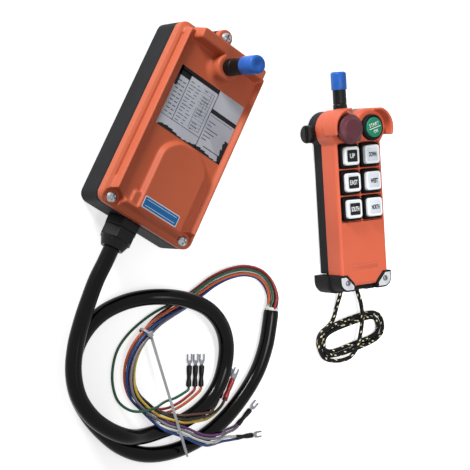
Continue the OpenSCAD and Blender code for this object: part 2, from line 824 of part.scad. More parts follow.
// Half section of the antenna's boss, with a hollow fillet at its foot
module antenna_boss_profile() {
    f = boss_fillet_r;
    fillet = [for (a = [0:boss_fillet_step:90])
        [boss_r + f - f*sin(a), rx_tray_z + f - f*cos(a)]];
    polygon(concat([[0, rx_cavity_z], [boss_r + f, rx_cavity_z]], fillet,
        [[boss_r, rx_block_z - block_edge], [boss_r - block_edge, rx_block_z],
            [0, rx_block_z]]));
}

module rx_cover() {
    color([0.84, 0.40, 0.25])
    difference() {
        union() {
            difference() {
                cover_outside();
                cover_cavity();
                cover_hollows();
            }
            cover_screw_bosses();
        }
        for (x = [-1, 1])
            translate([x*corner_screw_x, corner_screw_y, rx_flange_z])
                cylinder(r = notch_r, h = rx_block_z);
        for (x = [-1, 1])
            translate([x*(rx_w/2 - rx_ledge_w), -rx_l/2 + groove_low_end, rx_ledge_z])
                rotate([-90, 0, 0])
                cylinder(d = groove_d, h = rx_l - groove_low_end - groove_high_end);
        for (p = cover_screw_places)
            translate([p[0], p[1], rx_base_h - overrun])
                cylinder(d = cover_screw_d + 2*cover_screw_play, h = rx_skirt_h + 2*overrun);
        translate([antenna_x, antenna_y, rx_cavity_z])
            cylinder(d = antenna_rod_d, h = rx_block_z - rx_cavity_z + overrun);
    }
}

module cover_outside() {
    difference() {
        union() {
            rx_slice(0, rx_base_h, rx_skirt_h);
            rx_blend(0, rx_ledge_w, rx_flange_z, rx_ledge_rise);
            rx_blend(rx_ledge_w, rx_crest_in, rx_ledge_z, rx_rim_rise);
        }
        rx_blend(rx_tray_in, rx_crest_in + rx_crest_w, rx_tray_z, rx_tray_drop + slice_t);
    }
    dome();
    step();
    antenna_block();
    ear(rx_base_h, rx_skirt_h);
}

// Cavity of the cover, kept off the scallops round the lower screws
module cover_cavity() {
    rx_slice(rx_wall, rx_base_h - overrun, rx_skirt_h - rx_top_wall/2 + overrun);
    difference() {
        rx_slice(rx_cavity_in, rx_base_h, rx_cavity_z - rx_base_h);
        for (x = [-1, 1])
            translate([x*corner_screw_x, corner_screw_y, rx_base_h - overrun])
                cylinder(r = notch_r + rx_top_wall/2, h = rx_cavity_z);
    }
}

// Room under the dome, the block and the antenna boss
module cover_hollows() {
    translate([0, 0, rx_cavity_z - overrun])
        linear_extrude(rx_dome_z - rx_top_wall - rx_cavity_z + overrun)
        dome_outline(dome_lean + rx_top_wall);
    translate([0, block_y, rx_cavity_z - overrun])
        linear_extrude(rx_block_z - rx_top_wall - rx_cavity_z + overrun)
        rounded_outline(block_w - 2*block_lean - 2*rx_top_wall,
            block_l - block_lean - 2*rx_top_wall, block_hollow_r);
    translate([antenna_x, antenna_y, rx_cavity_z - overrun])
        cylinder(r = boss_r - rx_top_wall, h = rx_block_z - rx_top_wall - rx_cavity_z + overrun);
}

// Tubes round the lower screws, down to the base's posts
module cover_screw_bosses() {
    for (x = [-1, 1])
        translate([x*corner_screw_x, corner_screw_y, rx_base_h])
        difference() {
            cylinder(r = screw_post_r, h = rx_skirt_h - rx_top_wall/2);
            translate([0, 0, -overrun])
                cylinder(d = cover_screw_d + 2*cover_screw_play, h = rx_skirt_h + overrun);
        }
}

module rx_cover_screws() {
    color([0.75, 0.76, 0.77])
    for (p = cover_screw_places)
        translate([p[0], p[1], rx_flange_z])
            pan_screw(cover_screw_d, cover_screw_head_d, cover_screw_head_h, cover_screw_l);
}

module rx_antenna_stub() {
    color([0.07, 0.07, 0.07])
    translate([antenna_x, antenna_y, rx_block_z]) {
        cylinder(d = rx_antenna_d, h = rx_antenna_l);
        translate([0, 0, -rx_top_wall - antenna_nut_t - antenna_collar_h])
            cylinder(d = antenna_rod_d - 2*running_gap,
                h = rx_top_wall + antenna_nut_t + antenna_collar_h);
    }
}

// Cap with a rounded rim and a shallow dimple, its open end at z = 0
module antenna_cap(d, l, bore_d) {
    e = d*cap_edge_share;
    difference() {
        rotate_extrude() union() {
            square([d/2, l - e]);
            square([d/2 - e, l]);
            translate([d/2 - e, l - e]) circle(e);
        }
        translate([0, 0, -overrun]) cylinder(d = bore_d + 2*running_gap, h = cap_lap + overrun);
        translate([0, 0, l - e/2]) cylinder(d = d*cap_dimple_share, h = e);
    }
}

module rx_antenna_cap() {
    color([0.13, 0.40, 0.80])
    translate([antenna_x, antenna_y, rx_block_z + rx_antenna_l - cap_lap])
        antenna_cap(rx_cap_d, rx_cap_l, rx_antenna_d);
}

module hex_nut(af, t, bore_d) {
    difference() {
        cylinder(d = af/cos(30), h = t, $fn = 6);
        translate([0, 0, -overrun]) cylinder(d = bore_d, h = t + 2*overrun);
    }
}

module rx_antenna_nut() {
    color([0.75, 0.76, 0.77])
    translate([antenna_x, antenna_y, rx_block_z - rx_top_wall - antenna_nut_t])
        hex_nut(antenna_nut_af, antenna_nut_t, antenna_rod_d);
}

module rx_circuit_board() {
    color([0.12, 0.42, 0.25])
    difference() {
        translate([-board_w/2, board_y - board_l/2, board_z]) cube([board_w, board_l, board_t]);
        for (x = [-1, 1], y = [-1, 1])
            translate([x*board_post_x, board_y + y*board_post_y, board_z - overrun])
                cylinder(d = board_screw_d + 2*cover_screw_play, h = board_t + 2*overrun);
    }
}

module rx_board_screws() {
    color([0.75, 0.76, 0.77])
    for (x = [-1, 1], y = [-1, 1])
        translate([x*board_post_x, board_y + y*board_post_y, board_z + board_t])
            pan_screw(board_screw_d, board_screw_head_d, board_screw_head_h, board_screw_l);
}

module rx_relays() {
    color([0.18, 0.34, 0.62])
    for (i = [0, 1], j = [0:relay_rows - 1])
        translate([-relay_x + i*(relay_w + relay_gap), relay_y + j*(relay_l + relay_gap),
            board_z + board_t])
        cube([relay_w, relay_l, relay_h]);
}

module rx_transformer() {
    color([0.86, 0.72, 0.22])
    translate([transformer_x, transformer_y, board_z + board_t]) {
        cube([transformer_w, transformer_l, transformer_h - winding_out]);
        translate([winding_out, -winding_out, winding_out])
            cube([transformer_w - 2*winding_out, transformer_l + 2*winding_out,
                transformer_h - winding_out]);
    }
}

module rx_terminal_strip() {
    color([0.20, 0.55, 0.32])
    translate([-strip_ways*strip_pitch/2, strip_y, board_z + board_t])
    difference() {
        cube([strip_ways*strip_pitch, strip_l, strip_h]);
        for (i = [0:strip_ways - 1])
            translate([(i + 0.5)*strip_pitch, strip_l/2, strip_h - strip_screw_d/2])
                cylinder(d = strip_screw_d, h = strip_screw_d);
    }
}

module rx_radio_module() {
    color([0.72, 0.74, 0.76])
    translate([-relay_x, radio_y, board_z + board_t]) cube([radio_w, radio_l, radio_h]);
}

// Turns a piece drawn along +Z from the wall's outer face to the gland's axis
module on_gland() {
    translate([gland_x, -rx_l/2, gland_z]) rotate([90, 0, 0]) children();
}

module gland_body() {
    color([0.09, 0.09, 0.09])
    on_gland()
    difference() {
        union() {
            translate([0, 0, -rx_wall - gland_locknut_t - gland_tail])
                cylinder(d = gland_thread_d, h = rx_wall + gland_locknut_t + gland_tail + overrun);
            cylinder(d = gland_af/cos(30), h = gland_hex_l, $fn = 6);
            cylinder(d = gland_neck_d, h = gland_hex_l + gland_neck_l);
        }
        translate([0, 0, -rx_l/2]) cylinder(d = cable_d + 2*gland_play, h = rx_l);
    }
}

module gland_locknut() {
    color([0.12, 0.12, 0.12])
    on_gland()
    translate([0, 0, -rx_wall - gland_locknut_t])
    hex_nut(gland_locknut_af, gland_locknut_t, gland_thread_d + 2*running_gap);
}

module gland_seal() {
    on_gland()
    translate([0, 0, gland_hex_l + gland_neck_l])
    difference() {
        cylinder(d1 = seal_out_d, d2 = seal_out_d - seal_taper, h = seal_l);
        translate([0, 0, -overrun]) cylinder(d = cable_d, h = seal_l + 2*overrun);
    }
}

module gland_nut() {
    color([0.09, 0.09, 0.09])
    on_gland()
    difference() {
        union() {
            translate([0, 0, gland_hex_l + gland_seat_gap])
                cylinder(d = gland_nut_af/cos(30), $fn = 6,
                    h = gland_l - gland_dome_l - gland_hex_l - gland_seat_gap);
            translate([0, 0, gland_l - gland_dome_l])
                cylinder(d1 = gland_nut_af - 2*gland_dome_in, d2 = gland_dome_end_d,
                    h = gland_dome_l);
        }
        translate([0, 0, gland_hex_l])
            cylinder(d = gland_neck_d + 2*running_gap, h = gland_neck_l);
        translate([0, 0, gland_hex_l + gland_neck_l - slice_t])
            cylinder(d1 = seal_out_d + 2*pocket_gap, d2 = seal_out_d - seal_taper + 2*pocket_gap,
                h = seal_l + 2*slice_t);
        cylinder(d = cable_d + 2*gland_play, h = gland_l + overrun);
        for (i = [0:gland_flutes - 1])
            rotate((i + 0.5)*360/gland_flutes)
                translate([gland_nut_af/2 - gland_dome_in, 0,
                    gland_l - gland_dome_l + gland_flute_lift])
                cylinder(d = gland_flute_d, h = gland_dome_l, $fn = 12);
    }
}

module cable_inlet() {
    color([0.10, 0.10, 0.10])
    on_gland() translate([0, 0, -inlet_tail]) cylinder(d = cable_d, h = inlet_tail + gland_l);
}

module cable_sheath() {
    color([0.10, 0.10, 0.10]) tube(cable_route, cable_d, cable_sides);
}

module wire(w) {
    tube(wire_route(w), wire_d, wire_sides);
}

// Moves a piece drawn along +X to a terminal's rear face
module at_terminal(t) {
    translate([for (i = [0:2]) terminal_places[t][i]]) rotate(terminal_places[t][3]) children();
}

module sleeve() {
    rotate([0, 90, 0]) {
        cylinder(d1 = sleeve_d - 2*sleeve_edge, d2 = sleeve_d, h = sleeve_edge);
        translate([0, 0, sleeve_edge]) cylinder(d = sleeve_d, h = sleeve_l - 2*sleeve_edge);
        translate([0, 0, sleeve_l - sleeve_edge])
            cylinder(d1 = sleeve_d, d2 = sleeve_d - 2*sleeve_edge, h = sleeve_edge);
    }
}

module fork() {
    translate([sleeve_l, -fork_neck_w/2, -fork_t/2]) cube([fork_neck_l, fork_neck_w, fork_t]);
    translate([sleeve_l + fork_neck_l - fork_t, 0, -fork_t/2])
    difference() {
        union() {
            translate([fork_w/2, 0, 0]) cylinder(d = fork_w, h = fork_t);
            translate([fork_w/2, -fork_w/2, 0]) cube([fork_l - fork_w/2, fork_w, fork_t]);
        }
        translate([fork_l - fork_slot_l, -fork_slot_w/2, -overrun])
            cube([fork_slot_l + overrun, fork_slot_w, fork_t + 2*overrun]);
    }
}

module fork_terminals() {
    color([0.72, 0.73, 0.75])
    for (t = concat(black_sleeves, red_sleeves)) at_terminal(t) fork();
}

module sleeves_black() {
    color([0.08, 0.08, 0.08]) for (t = black_sleeves) at_terminal(t) sleeve();
}

module sleeves_red() {
    color([0.78, 0.10, 0.10]) for (t = red_sleeves) at_terminal(t) sleeve();
}

// Ring round the bundle, its head on top and its long tail
module cable_tie() {
    c = bundle_route[tie_at];
    h = heading_at(bundle_route, tie_at);
    color([0.62, 0.64, 0.66])
    translate(c) {
        rotate(atan2(h[1], h[0])) rotate([0, 90, 0]) translate([0, 0, -tie_w/2])
        difference() {
            cylinder(r = tie_ring_r + tie_t, h = tie_w);
            translate([0, 0, -overrun]) cylinder(r = tie_ring_r, h = tie_w + 2*overrun);
        }
        translate([0, 0, tie_ring_r + tie_t/2])
        rotate(tie_heading) {
            translate([-tie_head_l/2, -tie_head_w/2, 0]) cube([tie_head_l, tie_head_w, tie_head_h]);
            translate([0, 0, tie_head_h/2])
                rotate([0, -asin(tie_climb/tie_tail_l), 0])
                translate([0, -tie_w/2, -tie_t/2]) cube([tie_tail_l, tie_w, tie_t]);
        }
    }
}

// Places a piece of the transmitter, drawn in the transmitter's own frame
module on_tx() {
    translate(tx_place) rotate(tx_heading) children();
}

// Plan of the transmitter's shells, drawn in by an inset
module tx_plan(inset) {
    low = tx_low_y + inset;
    difference() {
        union() {
            translate([0, (low + tx_head_y)/2])
                rounded_outline(tx_w - 2*inset, tx_head_y - low, tx_corner_r);
            for (x = [-1, 1]) translate([x*tx_head_x, tx_head_y]) circle(tx_head_r - inset);
            translate([-tx_head_x, tx_head_y - tx_head_low])
                square([2*tx_head_x, tx_l - inset - tx_head_y + tx_head_low]);
        }
        for (x = [-1, 1]) scale([x, 1]) corner_room(inset);
    }
}

// Corner that the bumper takes from the shells' plan, on the right side
module corner_room(grow) {
    g = grow + bumper_play;
    x = bumper_in_x - g;
    y = bumper_high + g;
    s = bumper_slant - g*corner_slant_share;
    polygon([[x, -tx_l], [x, y - s], [x + s, y], [tx_l, y], [tx_l, -tx_l]]);
}

module tx_front_shell() {
    color([0.83, 0.41, 0.31])
    on_tx()
    difference() {
        union() {
            difference() {
                front_outside();
                translate([0, 0, tx_rear_h - overrun])
                    linear_extrude(front_roof_z - tx_rear_h + overrun) tx_plan(tx_wall);
                translate([-recess_w/2, key_mid_y - recess_l/2, recess_z])
                    cube([recess_w, recess_l, recess_drop + overrun]);
            }
            antenna_socket();
            key_ribs();
            board_posts(tx_board_z + tx_board_t, front_roof_z, tx_post_r);
            translate([0, centre_screw_y, tx_board_z + tx_board_t])
                cylinder(r = screw_boss_r, h = front_roof_z - tx_board_z - tx_board_t + overrun);
        }
        for (k = key_places)
            translate([k[0], k[1], front_roof_z - overrun])
                cylinder(d = key_stem_d + 2*key_stem_play, h = tx_face_z);
        translate([stop_at[0], stop_at[1], tx_rear_h])
            cylinder(d = collar_tube_d + 2*running_gap, h = tx_front_h + overrun);
        translate([start_at[0], start_at[1], tx_rear_h])
            cylinder(d = start_stem_d + 2*key_stem_play, h = tx_front_h + overrun);
        translate([0, centre_screw_y, tx_rear_h])
            cylinder(d = case_screw_d + 2*cover_screw_play, h = tx_front_h + overrun);
        translate([tx_antenna_x, tx_antenna_seat_y, tx_antenna_z]) rotate([-90, 0, 0]) {
            cylinder(d = tx_antenna_d + 2*slide_gap, h = tx_head_r);
            translate([0, 0, -tx_antenna_rod_l - overrun])
                cylinder(d = tx_antenna_rod_d, h = tx_antenna_rod_l + 2*overrun);
        }
        translate([-plate_w/2, plate_y - plate_l/2, tx_face_z - plate_depth])
            cube([plate_w, plate_l, plate_depth + overrun]);
        horn_rooms();
    }
}

// Wall round the antenna's foot, inside the head
module antenna_socket() {
    intersection() {
        translate([0, 0, tx_rear_h]) linear_extrude(tx_front_h - tx_edge) tx_plan(slice_t);
        translate([tx_antenna_x, tx_antenna_seat_y - antenna_socket_back, tx_antenna_z])
            rotate([-90, 0, 0])
            cylinder(d = tx_antenna_d + 2*antenna_socket_wall, h = tx_head_r);
    }
}

// Outside of the front shell, its upper edge bevelled
module front_outside() {
    translate([0, 0, tx_rear_h]) linear_extrude(tx_front_h - tx_edge) tx_plan(0);
    difference() {
        union() {
            translate([0, (tx_low_y + tx_head_y)/2, tx_face_z - tx_edge])
                blend(tx_w, tx_head_y - tx_low_y, tx_corner_r, tx_w - 2*tx_edge,
                    tx_head_y - tx_low_y - 2*tx_edge, tx_corner_r - tx_edge, tx_edge);
            for (x = [-1, 1]) translate([x*tx_head_x, tx_head_y, tx_face_z - tx_edge])
                cylinder(r1 = tx_head_r, r2 = tx_head_r - tx_edge, h = tx_edge);
            translate([0, tx_head_y, tx_face_z - tx_edge])
                blend(2*tx_head_x, 2*(tx_l - tx_head_y), shape_r, 2*tx_head_x,
                    2*(tx_l - tx_head_y - tx_edge), shape_r - slice_t, tx_edge);
        }
        for (x = [-1, 1]) translate([0, 0, tx_rear_h]) scale([x, 1, 1])
            linear_extrude(tx_face_z) corner_room(0);
    }
}

// Guard horn round a button: an arc between two angles, grown by a gap where it is a room
module horn(at, from, to, grow, h) {
    r = 2*horn_out_r;
    mid = (from + to)/2;
    translate([at[0], at[1], tx_face_z - horn_root - grow])
    linear_extrude(horn_root + h)
    offset(delta = grow)
    intersection() {
        difference() {
            circle(horn_out_r);
            circle(horn_out_r - horn_t);
        }
        polygon([[0, 0], [r*cos(from), r*sin(from)], [r*cos(mid)*2, r*sin(mid)*2],
            [r*cos(to), r*sin(to)]]);
    }
}

module tx_guard_horns() {
    color([0.83, 0.41, 0.31])
    on_tx() {
        horn(stop_at, stop_horn_from, stop_horn_to, 0, horn_h);
        horn(start_at, start_horn_from, start_horn_to, 0, horn_h);
    }
}

// Rooms in the front shell that the horns' roots stand in
module horn_rooms() {
    horn(stop_at, stop_horn_from, stop_horn_to, pocket_gap, horn_h);
    horn(start_at, start_horn_from, start_horn_to, pocket_gap, horn_h);
}

// Low ribs between the keys' boots
module key_ribs() {
    h = recess_drop - rib_drop;
    translate([-rib_w/2, key_mid_y - recess_l/2, recess_z - slice_t])
        cube([rib_w, recess_l, h + slice_t]);
    for (y = [-1, 1])
        translate([-recess_w/2, key_mid_y + y*key_pitch/2 - rib_w/2, recess_z - slice_t])
            cube([recess_w, rib_w, h + slice_t]);
}

module board_posts(z_low, z_high, r) {
    for (x = [-1, 1], y = [-1, 1])
        translate([x*tx_post_x, key_mid_y + y*key_pitch/2, z_low])
            cylinder(r = r, h = z_high - z_low);
}

module tx_rear_shell() {
    color([0.13, 0.14, 0.15])
    on_tx()
    difference() {
        union() {
            difference() {
                rear_outside();
                translate([0, 0, tx_floor])
                    linear_extrude(tx_rear_h) tx_plan(tx_rear_in + tx_wall);
            }
            board_posts(tx_floor/2, tx_board_z, tx_post_r);
            translate([0, centre_screw_y, tx_floor/2])
                cylinder(r = centre_post_r, h = tx_board_z - tx_floor/2);
        }
        translate([-battery_lid_w/2, battery_lid_low, -overrun])
            cube([battery_lid_w, battery_lid_l, tx_floor/2 + overrun]);
        translate([-battery_lid_w/2 + lid_ledge, battery_lid_low + lid_ledge, 0])
            cube([battery_lid_w - 2*lid_ledge, battery_lid_l - 2*lid_ledge, tx_rear_h]);
        translate([0, centre_screw_y, tx_face_z - centre_screw_l - overrun])
            cylinder(d = case_screw_d, h = centre_screw_l);
        translate([side_x - overrun, knob_y, knob_z]) rotate([0, 90, 0]) {
            cylinder(d = barrel_d + 2*running_gap, h = barrel_l);
            cylinder(d = barrel_flange_d + 2*slide_gap, h = barrel_seat + overrun);
        }
    }
}

// Outside of the rear shell, its back edge leaning in
module rear_outside() {
    low = tx_low_y + tx_rear_in;
    w = tx_w - 2*tx_rear_in;
    l = tx_head_y - low;
    r = tx_head_r - tx_rear_in;
    translate([0, 0, tx_back_lean]) linear_extrude(tx_rear_h - tx_back_lean) tx_plan(tx_rear_in);
    difference() {
        union() {
            translate([0, low + l/2, 0])
                blend(w - 2*tx_back_lean, l - 2*tx_back_lean, shape_r, w, l, tx_corner_r,
                    tx_back_lean);
            for (x = [-1, 1]) translate([x*tx_head_x, tx_head_y, 0])
                cylinder(r1 = r - tx_back_lean, r2 = r, h = tx_back_lean);
            translate([-tx_head_x, tx_head_y, 0])
                cube([2*tx_head_x, r - 2*tx_back_lean - tx_head_low, tx_back_lean]);
        }
        for (x = [-1, 1]) translate([0, 0, -overrun]) scale([x, 1, 1])
            linear_extrude(tx_rear_h) corner_room(tx_rear_in);
    }
}

module tx_battery_cover() {
    inner_w = battery_lid_w - 2*lid_ledge - 2*slide_gap;
    inner_l = battery_lid_l - 2*lid_ledge - 2*slide_gap;
    color([0.13, 0.14, 0.15])
    on_tx()
    translate([0, battery_lid_low + battery_lid_l/2, 0]) {
        translate([-battery_lid_w/2 + slide_gap, -battery_lid_l/2 + slide_gap, 0])
            cube([battery_lid_w - 2*slide_gap, battery_lid_l - 2*slide_gap, tx_floor/2]);
        translate([-inner_w/2, -inner_l/2, tx_floor/4]) cube([inner_w, inner_l, tx_floor - tx_floor/4]);
    }
}

// Plan of the bumper's corner block on the right side, grown outwards
module bumper_corner(grow, inset) {
    x = bumper_x - bumper_r;
    y = -bumper_low + bumper_r;
    low_x = bumper_in_x + inset;
    low_y = -bumper_low - grow + inset;
    high_y = bumper_high - inset;
    cut = bumper_slant + (1 - corner_slant_share)*inset;
    difference() {
        union() {
            intersection() {
                translate([x, y]) circle(bumper_r + grow - inset);
                translate([x, low_y]) square([bumper_x, high_y - low_y]);
            }
            translate([low_x, low_y]) square([x - low_x, high_y - low_y]);
            translate([x, y]) square([bumper_r + grow - inset, high_y - y]);
        }
        polygon([[low_x - overrun, high_y - cut - overrun], [low_x + cut + overrun,
            high_y + overrun], [low_x - overrun, high_y + overrun]]);
    }
}

module tx_bumper() {
    color([0.10, 0.10, 0.10])
    on_tx()
    difference() {
        union() {
            for (x = [-1, 1]) scale([x, 1, 1]) {
                translate([0, 0, bumper_z]) linear_extrude(bumper_top_z - bumper_z)
                    bumper_corner(0, 0);
                translate([0, 0, bumper_z]) linear_extrude(bumper_swell_z - bumper_z)
                    bumper_corner(bumper_swell, 0);
            }
            translate([-bumper_in_x - overrun, -bumper_low, bumper_bar_z])
                cube([2*bumper_in_x + 2*overrun, tx_low_y + bumper_low, bumper_bar_h]);
        }
        for (x = [-1, 1]) scale([x, 1, 1]) {
            translate([0, 0, bumper_top_z - corner_plate_t/2]) linear_extrude(corner_plate_t)
                bumper_corner(0, corner_plate_in - pocket_gap);
            translate([case_screw_x, case_screw_y, bumper_top_z - case_screw_l - overrun])
                cylinder(d = case_screw_d, h = case_screw_l + corner_plate_t);
        }
    }
}

module tx_corner_plates() {
    color([0.93, 0.94, 0.95])
    on_tx()
    for (x = [-1, 1]) scale([x, 1, 1])
    difference() {
        translate([0, 0, bumper_top_z - corner_plate_t/2]) linear_extrude(corner_plate_t)
            bumper_corner(0, corner_plate_in);
        translate([case_screw_x, case_screw_y, 0])
            cylinder(d = case_screw_d + 2*cover_screw_play, h = 2*bumper_top_z);
    }
}

module tx_case_screws() {
    color([0.75, 0.76, 0.77])
    on_tx() {
        for (x = [-1, 1])
            translate([x*case_screw_x, case_screw_y, bumper_top_z + corner_plate_t/2])
                pan_screw(case_screw_d, case_screw_head_d, case_screw_head_h, case_screw_l);
        translate([0, centre_screw_y, tx_face_z])
            pan_screw(case_screw_d, centre_screw_head_d, case_screw_head_h, centre_screw_l);
    }
}

module tx_stop_stem() {
    color([0.80, 0.80, 0.80])
    on_tx()
    translate([stop_at[0], stop_at[1], plunger_z + stop_travel + stem_clear])
        cylinder(d = stop_stem_d,
            h = stop_z + stop_rim_h + stop_socket_l - plunger_z - stop_travel - stem_clear);
}

module tx_stop_head() {
    r = stop_d/2;
    color([0.41, 0.20, 0.25])
    on_tx()
    translate([stop_at[0], stop_at[1], stop_z])
    difference() {
        rotate_extrude() polygon([for (s = stop_head_shares) [s[0]*r, s[1]*stop_h]]);
        translate([0, 0, -overrun]) cylinder(r = r - stop_rim_t, h = stop_rim_h + overrun);
        cylinder(d = stop_stem_d + 2*running_gap, h = stop_rim_h + stop_socket_l);
    }
}

module tx_stop_collar() {
    color([0.08, 0.08, 0.08])
    on_tx()
    translate([stop_at[0], stop_at[1], tx_face_z])
    difference() {
        union() {
            cylinder(d = collar_d, h = collar_h);
            translate([0, 0, -collar_tube_l]) cylinder(d = collar_tube_d, h = collar_tube_l);
        }
        translate([0, 0, -collar_tube_l - overrun])
            cylinder(d = stop_stem_d + 2*running_gap, h = collar_tube_l + collar_h + 2*overrun);
    }
}

module tx_start_button() {
    stem_z = plunger_z + start_travel + stem_clear;
    color([0.08, 0.51, 0.37])
    on_tx()
    translate([start_at[0], start_at[1], 0]) {
        translate([0, 0, tx_face_z + start_lift])
            cylinder(d = start_d, h = start_h - start_edge);
        translate([0, 0, tx_face_z + start_lift + start_h - start_edge])
            cylinder(d1 = start_d, d2 = start_d - 2*start_edge, h = start_edge);
        translate([0, 0, stem_z])
            cylinder(d = start_stem_d, h = tx_face_z + start_lift + start_edge - stem_z);
    }
}

module tx_start_bezel() {
    color([0.08, 0.08, 0.08])
    on_tx()
    translate([start_at[0], start_at[1], tx_face_z])
    difference() {
        union() {
            cylinder(d = bezel_d, h = bezel_h - bezel_edge);
            translate([0, 0, bezel_h - bezel_edge])
                cylinder(d1 = bezel_d, d2 = bezel_d - 2*bezel_edge, h = bezel_edge);
        }
        translate([0, 0, -overrun])
            cylinder(d = start_d + 2*slide_gap, h = bezel_h + 2*overrun);
    }
}

// One square key with its round stem
module key(i) {
    stem_z = plunger_z + key_travel + stem_clear;
    color([0.92, 0.94, 0.95])
    on_tx()
    translate([key_places[i][0], key_places[i][1], 0]) {
        translate([0, 0, key_z]) rounded_slab(key_w, key_w, key_h - key_edge, key_r);
        translate([0, 0, key_z + key_h - key_edge])
            blend(key_w, key_w, key_r, key_w - 2*key_edge, key_w - 2*key_edge,
                key_r - key_edge, key_edge);
        translate([0, 0, stem_z]) cylinder(d = key_stem_d, h = key_z + key_edge - stem_z);
    }
}

module key_boots() {
    color([0.07, 0.07, 0.07])
    on_tx()
    for (k = key_places)
        translate([k[0], k[1], recess_z])
        linear_extrude(boot_h)
        difference() {
            rounded_outline(boot_w, boot_w, boot_r);
            rounded_outline(key_w + 2*key_gap, key_w + 2*key_gap, key_r + key_gap);
        }
}

module tx_antenna_stub() {
    color([0.07, 0.07, 0.07])
    on_tx()
    translate([tx_antenna_x, tx_antenna_seat_y, tx_antenna_z]) rotate([-90, 0, 0]) {
        cylinder(d = tx_antenna_d, h = tx_antenna_l);
        translate([0, 0, -tx_antenna_rod_l])
            cylinder(d = tx_antenna_rod_d - 2*running_gap, h = tx_antenna_rod_l);
    }
}

module tx_antenna_cap() {
    color([0.13, 0.40, 0.80])
    on_tx()
    translate([tx_antenna_x, tx_antenna_seat_y + tx_antenna_l - cap_lap, tx_antenna_z])
        rotate([-90, 0, 0]) antenna_cap(tx_cap_d, tx_cap_l, tx_antenna_d);
}

// Turns a piece drawn along +Z to the key switch's axis, outwards from its seat
module on_key_switch() {
    on_tx() translate([side_x + barrel_seat, knob_y, knob_z]) rotate([0, -90, 0]) children();
}

module key_switch_barrel() {
    color([0.70, 0.71, 0.72])
    on_key_switch()
    difference() {
        union() {
            cylinder(d = barrel_flange_d, h = barrel_flange_t);
            translate([0, 0, -barrel_l]) cylinder(d = barrel_d, h = barrel_l);
        }
        translate([0, 0, barrel_flange_t - knob_shaft_l])
            cylinder(d = knob_shaft_d + 2*running_gap, h = knob_shaft_l + overrun);
    }
}

module key_switch_knob() {
    foot = barrel_seat + knob_gap;
    color([0.09, 0.09, 0.10])
    on_key_switch() {
        translate([0, 0, foot]) cylinder(d = knob_d, h = knob_l - knob_grip_h);
        translate([-knob_grip_w/2, -knob_d/2 + knob_grip_h/2, foot + knob_l - knob_grip_h])
            cube([knob_grip_w, knob_d - knob_grip_h, knob_grip_h]);
        translate([0, 0, barrel_flange_t - knob_shaft_l + running_gap])
            cylinder(d = knob_shaft_d, h = knob_shaft_l - barrel_flange_t + foot + overrun);
    }
}

module tx_circuit_board() {
    color([0.12, 0.42, 0.25])
    on_tx()
    difference() {
        translate([-tx_board_w/2, tx_board_low, tx_board_z])
            cube([tx_board_w, tx_board_high - tx_board_low, tx_board_t]);
        translate([0, centre_screw_y, tx_board_z - overrun])
            cylinder(d = case_screw_d + 2*cover_screw_play, h = tx_board_t + 2*overrun);
    }
}

// Switches under the keys and the round buttons
module tx_switches() {
    z = tx_board_z + tx_board_t;
    color([0.16, 0.16, 0.17])
    on_tx()
    for (p = concat(key_places, [stop_at, start_at]))
        translate([p[0], p[1], z]) {
            translate([-switch_w/2, -switch_w/2, 0]) cube([switch_w, switch_w, switch_body_h]);
            cylinder(d = switch_plunger_d, h = plunger_z - z);
        }
}

module tx_batteries() {
    color([0.30, 0.32, 0.36])
    on_tx()
    for (x = [-1, 1])
        translate([x*(battery_d + battery_gap)/2, battery_low, battery_z])
        rotate([-90, 0, 0]) {
            cylinder(d = battery_d, h = battery_l);
            cylinder(d = battery_cap_d, h = battery_l + battery_cap_l);
        }
}

module tx_battery_contacts() {
    color([0.74, 0.74, 0.72])
    on_tx()
    for (x = [-1, 1], y = [contact_low_y, contact_high_y])
        translate([x*(battery_d + battery_gap)/2 - contact_w/2, y, tx_floor])
            cube([contact_w, contact_t, contact_w]);
}

module wrist_cord() {
    color([0.09, 0.09, 0.08]) on_tx() tube(cord_route, cord_d, cord_sides);
}

rx_base();
rx_cover();
rx_seals();
rx_cover_screws();
rx_antenna_stub();
rx_antenna_cap();
rx_antenna_nut();
rx_circuit_board();
rx_board_screws();
rx_relays();
rx_transformer();
rx_terminal_strip();
rx_radio_module();
gland_body();
gland_locknut();
gland_nut();
cable_inlet();
cable_sheath();
color([0.08, 0.08, 0.08]) wire(wire_black);
color([0.38, 0.22, 0.14]) wire(wire_brown);
color([0.78, 0.12, 0.12]) wire(wire_red);
color([0.90, 0.45, 0.12]) wire(wire_orange);
color([0.92, 0.80, 0.15]) wire(wire_yellow);
color([0.10, 0.50, 0.28]) wire(wire_green);
color([0.15, 0.30, 0.72]) wire(wire_blue);
color([0.45, 0.20, 0.55]) wire(wire_violet);
color([0.55, 0.56, 0.58]) wire(wire_grey);
color([0.90, 0.90, 0.90]) wire(wire_white);
fork_terminals();
sleeves_black();
sleeves_red();
cable_tie();
tx_front_shell();
tx_guard_horns();
tx_rear_shell();
tx_battery_cover();
tx_bumper();
tx_corner_plates();
tx_case_screws();
tx_stop_stem();
tx_stop_head();
tx_stop_collar();
tx_start_button();
tx_start_bezel();
key(0);  // key_up
key(1);  // key_down
key(2);  // key_east
key(3);  // key_west
key(4);  // key_south
key(5);  // key_north
key_boots();
tx_antenna_stub();
tx_antenna_cap();
key_switch_barrel();
key_switch_knob();
tx_circuit_board();
tx_switches();
tx_batteries();
tx_battery_contacts();
wrist_cord();

echo(str("lead: length ", route_length(cable_route), ", least gap to itself ",
    self_gap(cable_route, cable_d, 4)));
echo(str("wrist cord: length ", route_length(cord_route), ", least gap to itself ",
    self_gap(cord_route, cord_d, 3)));
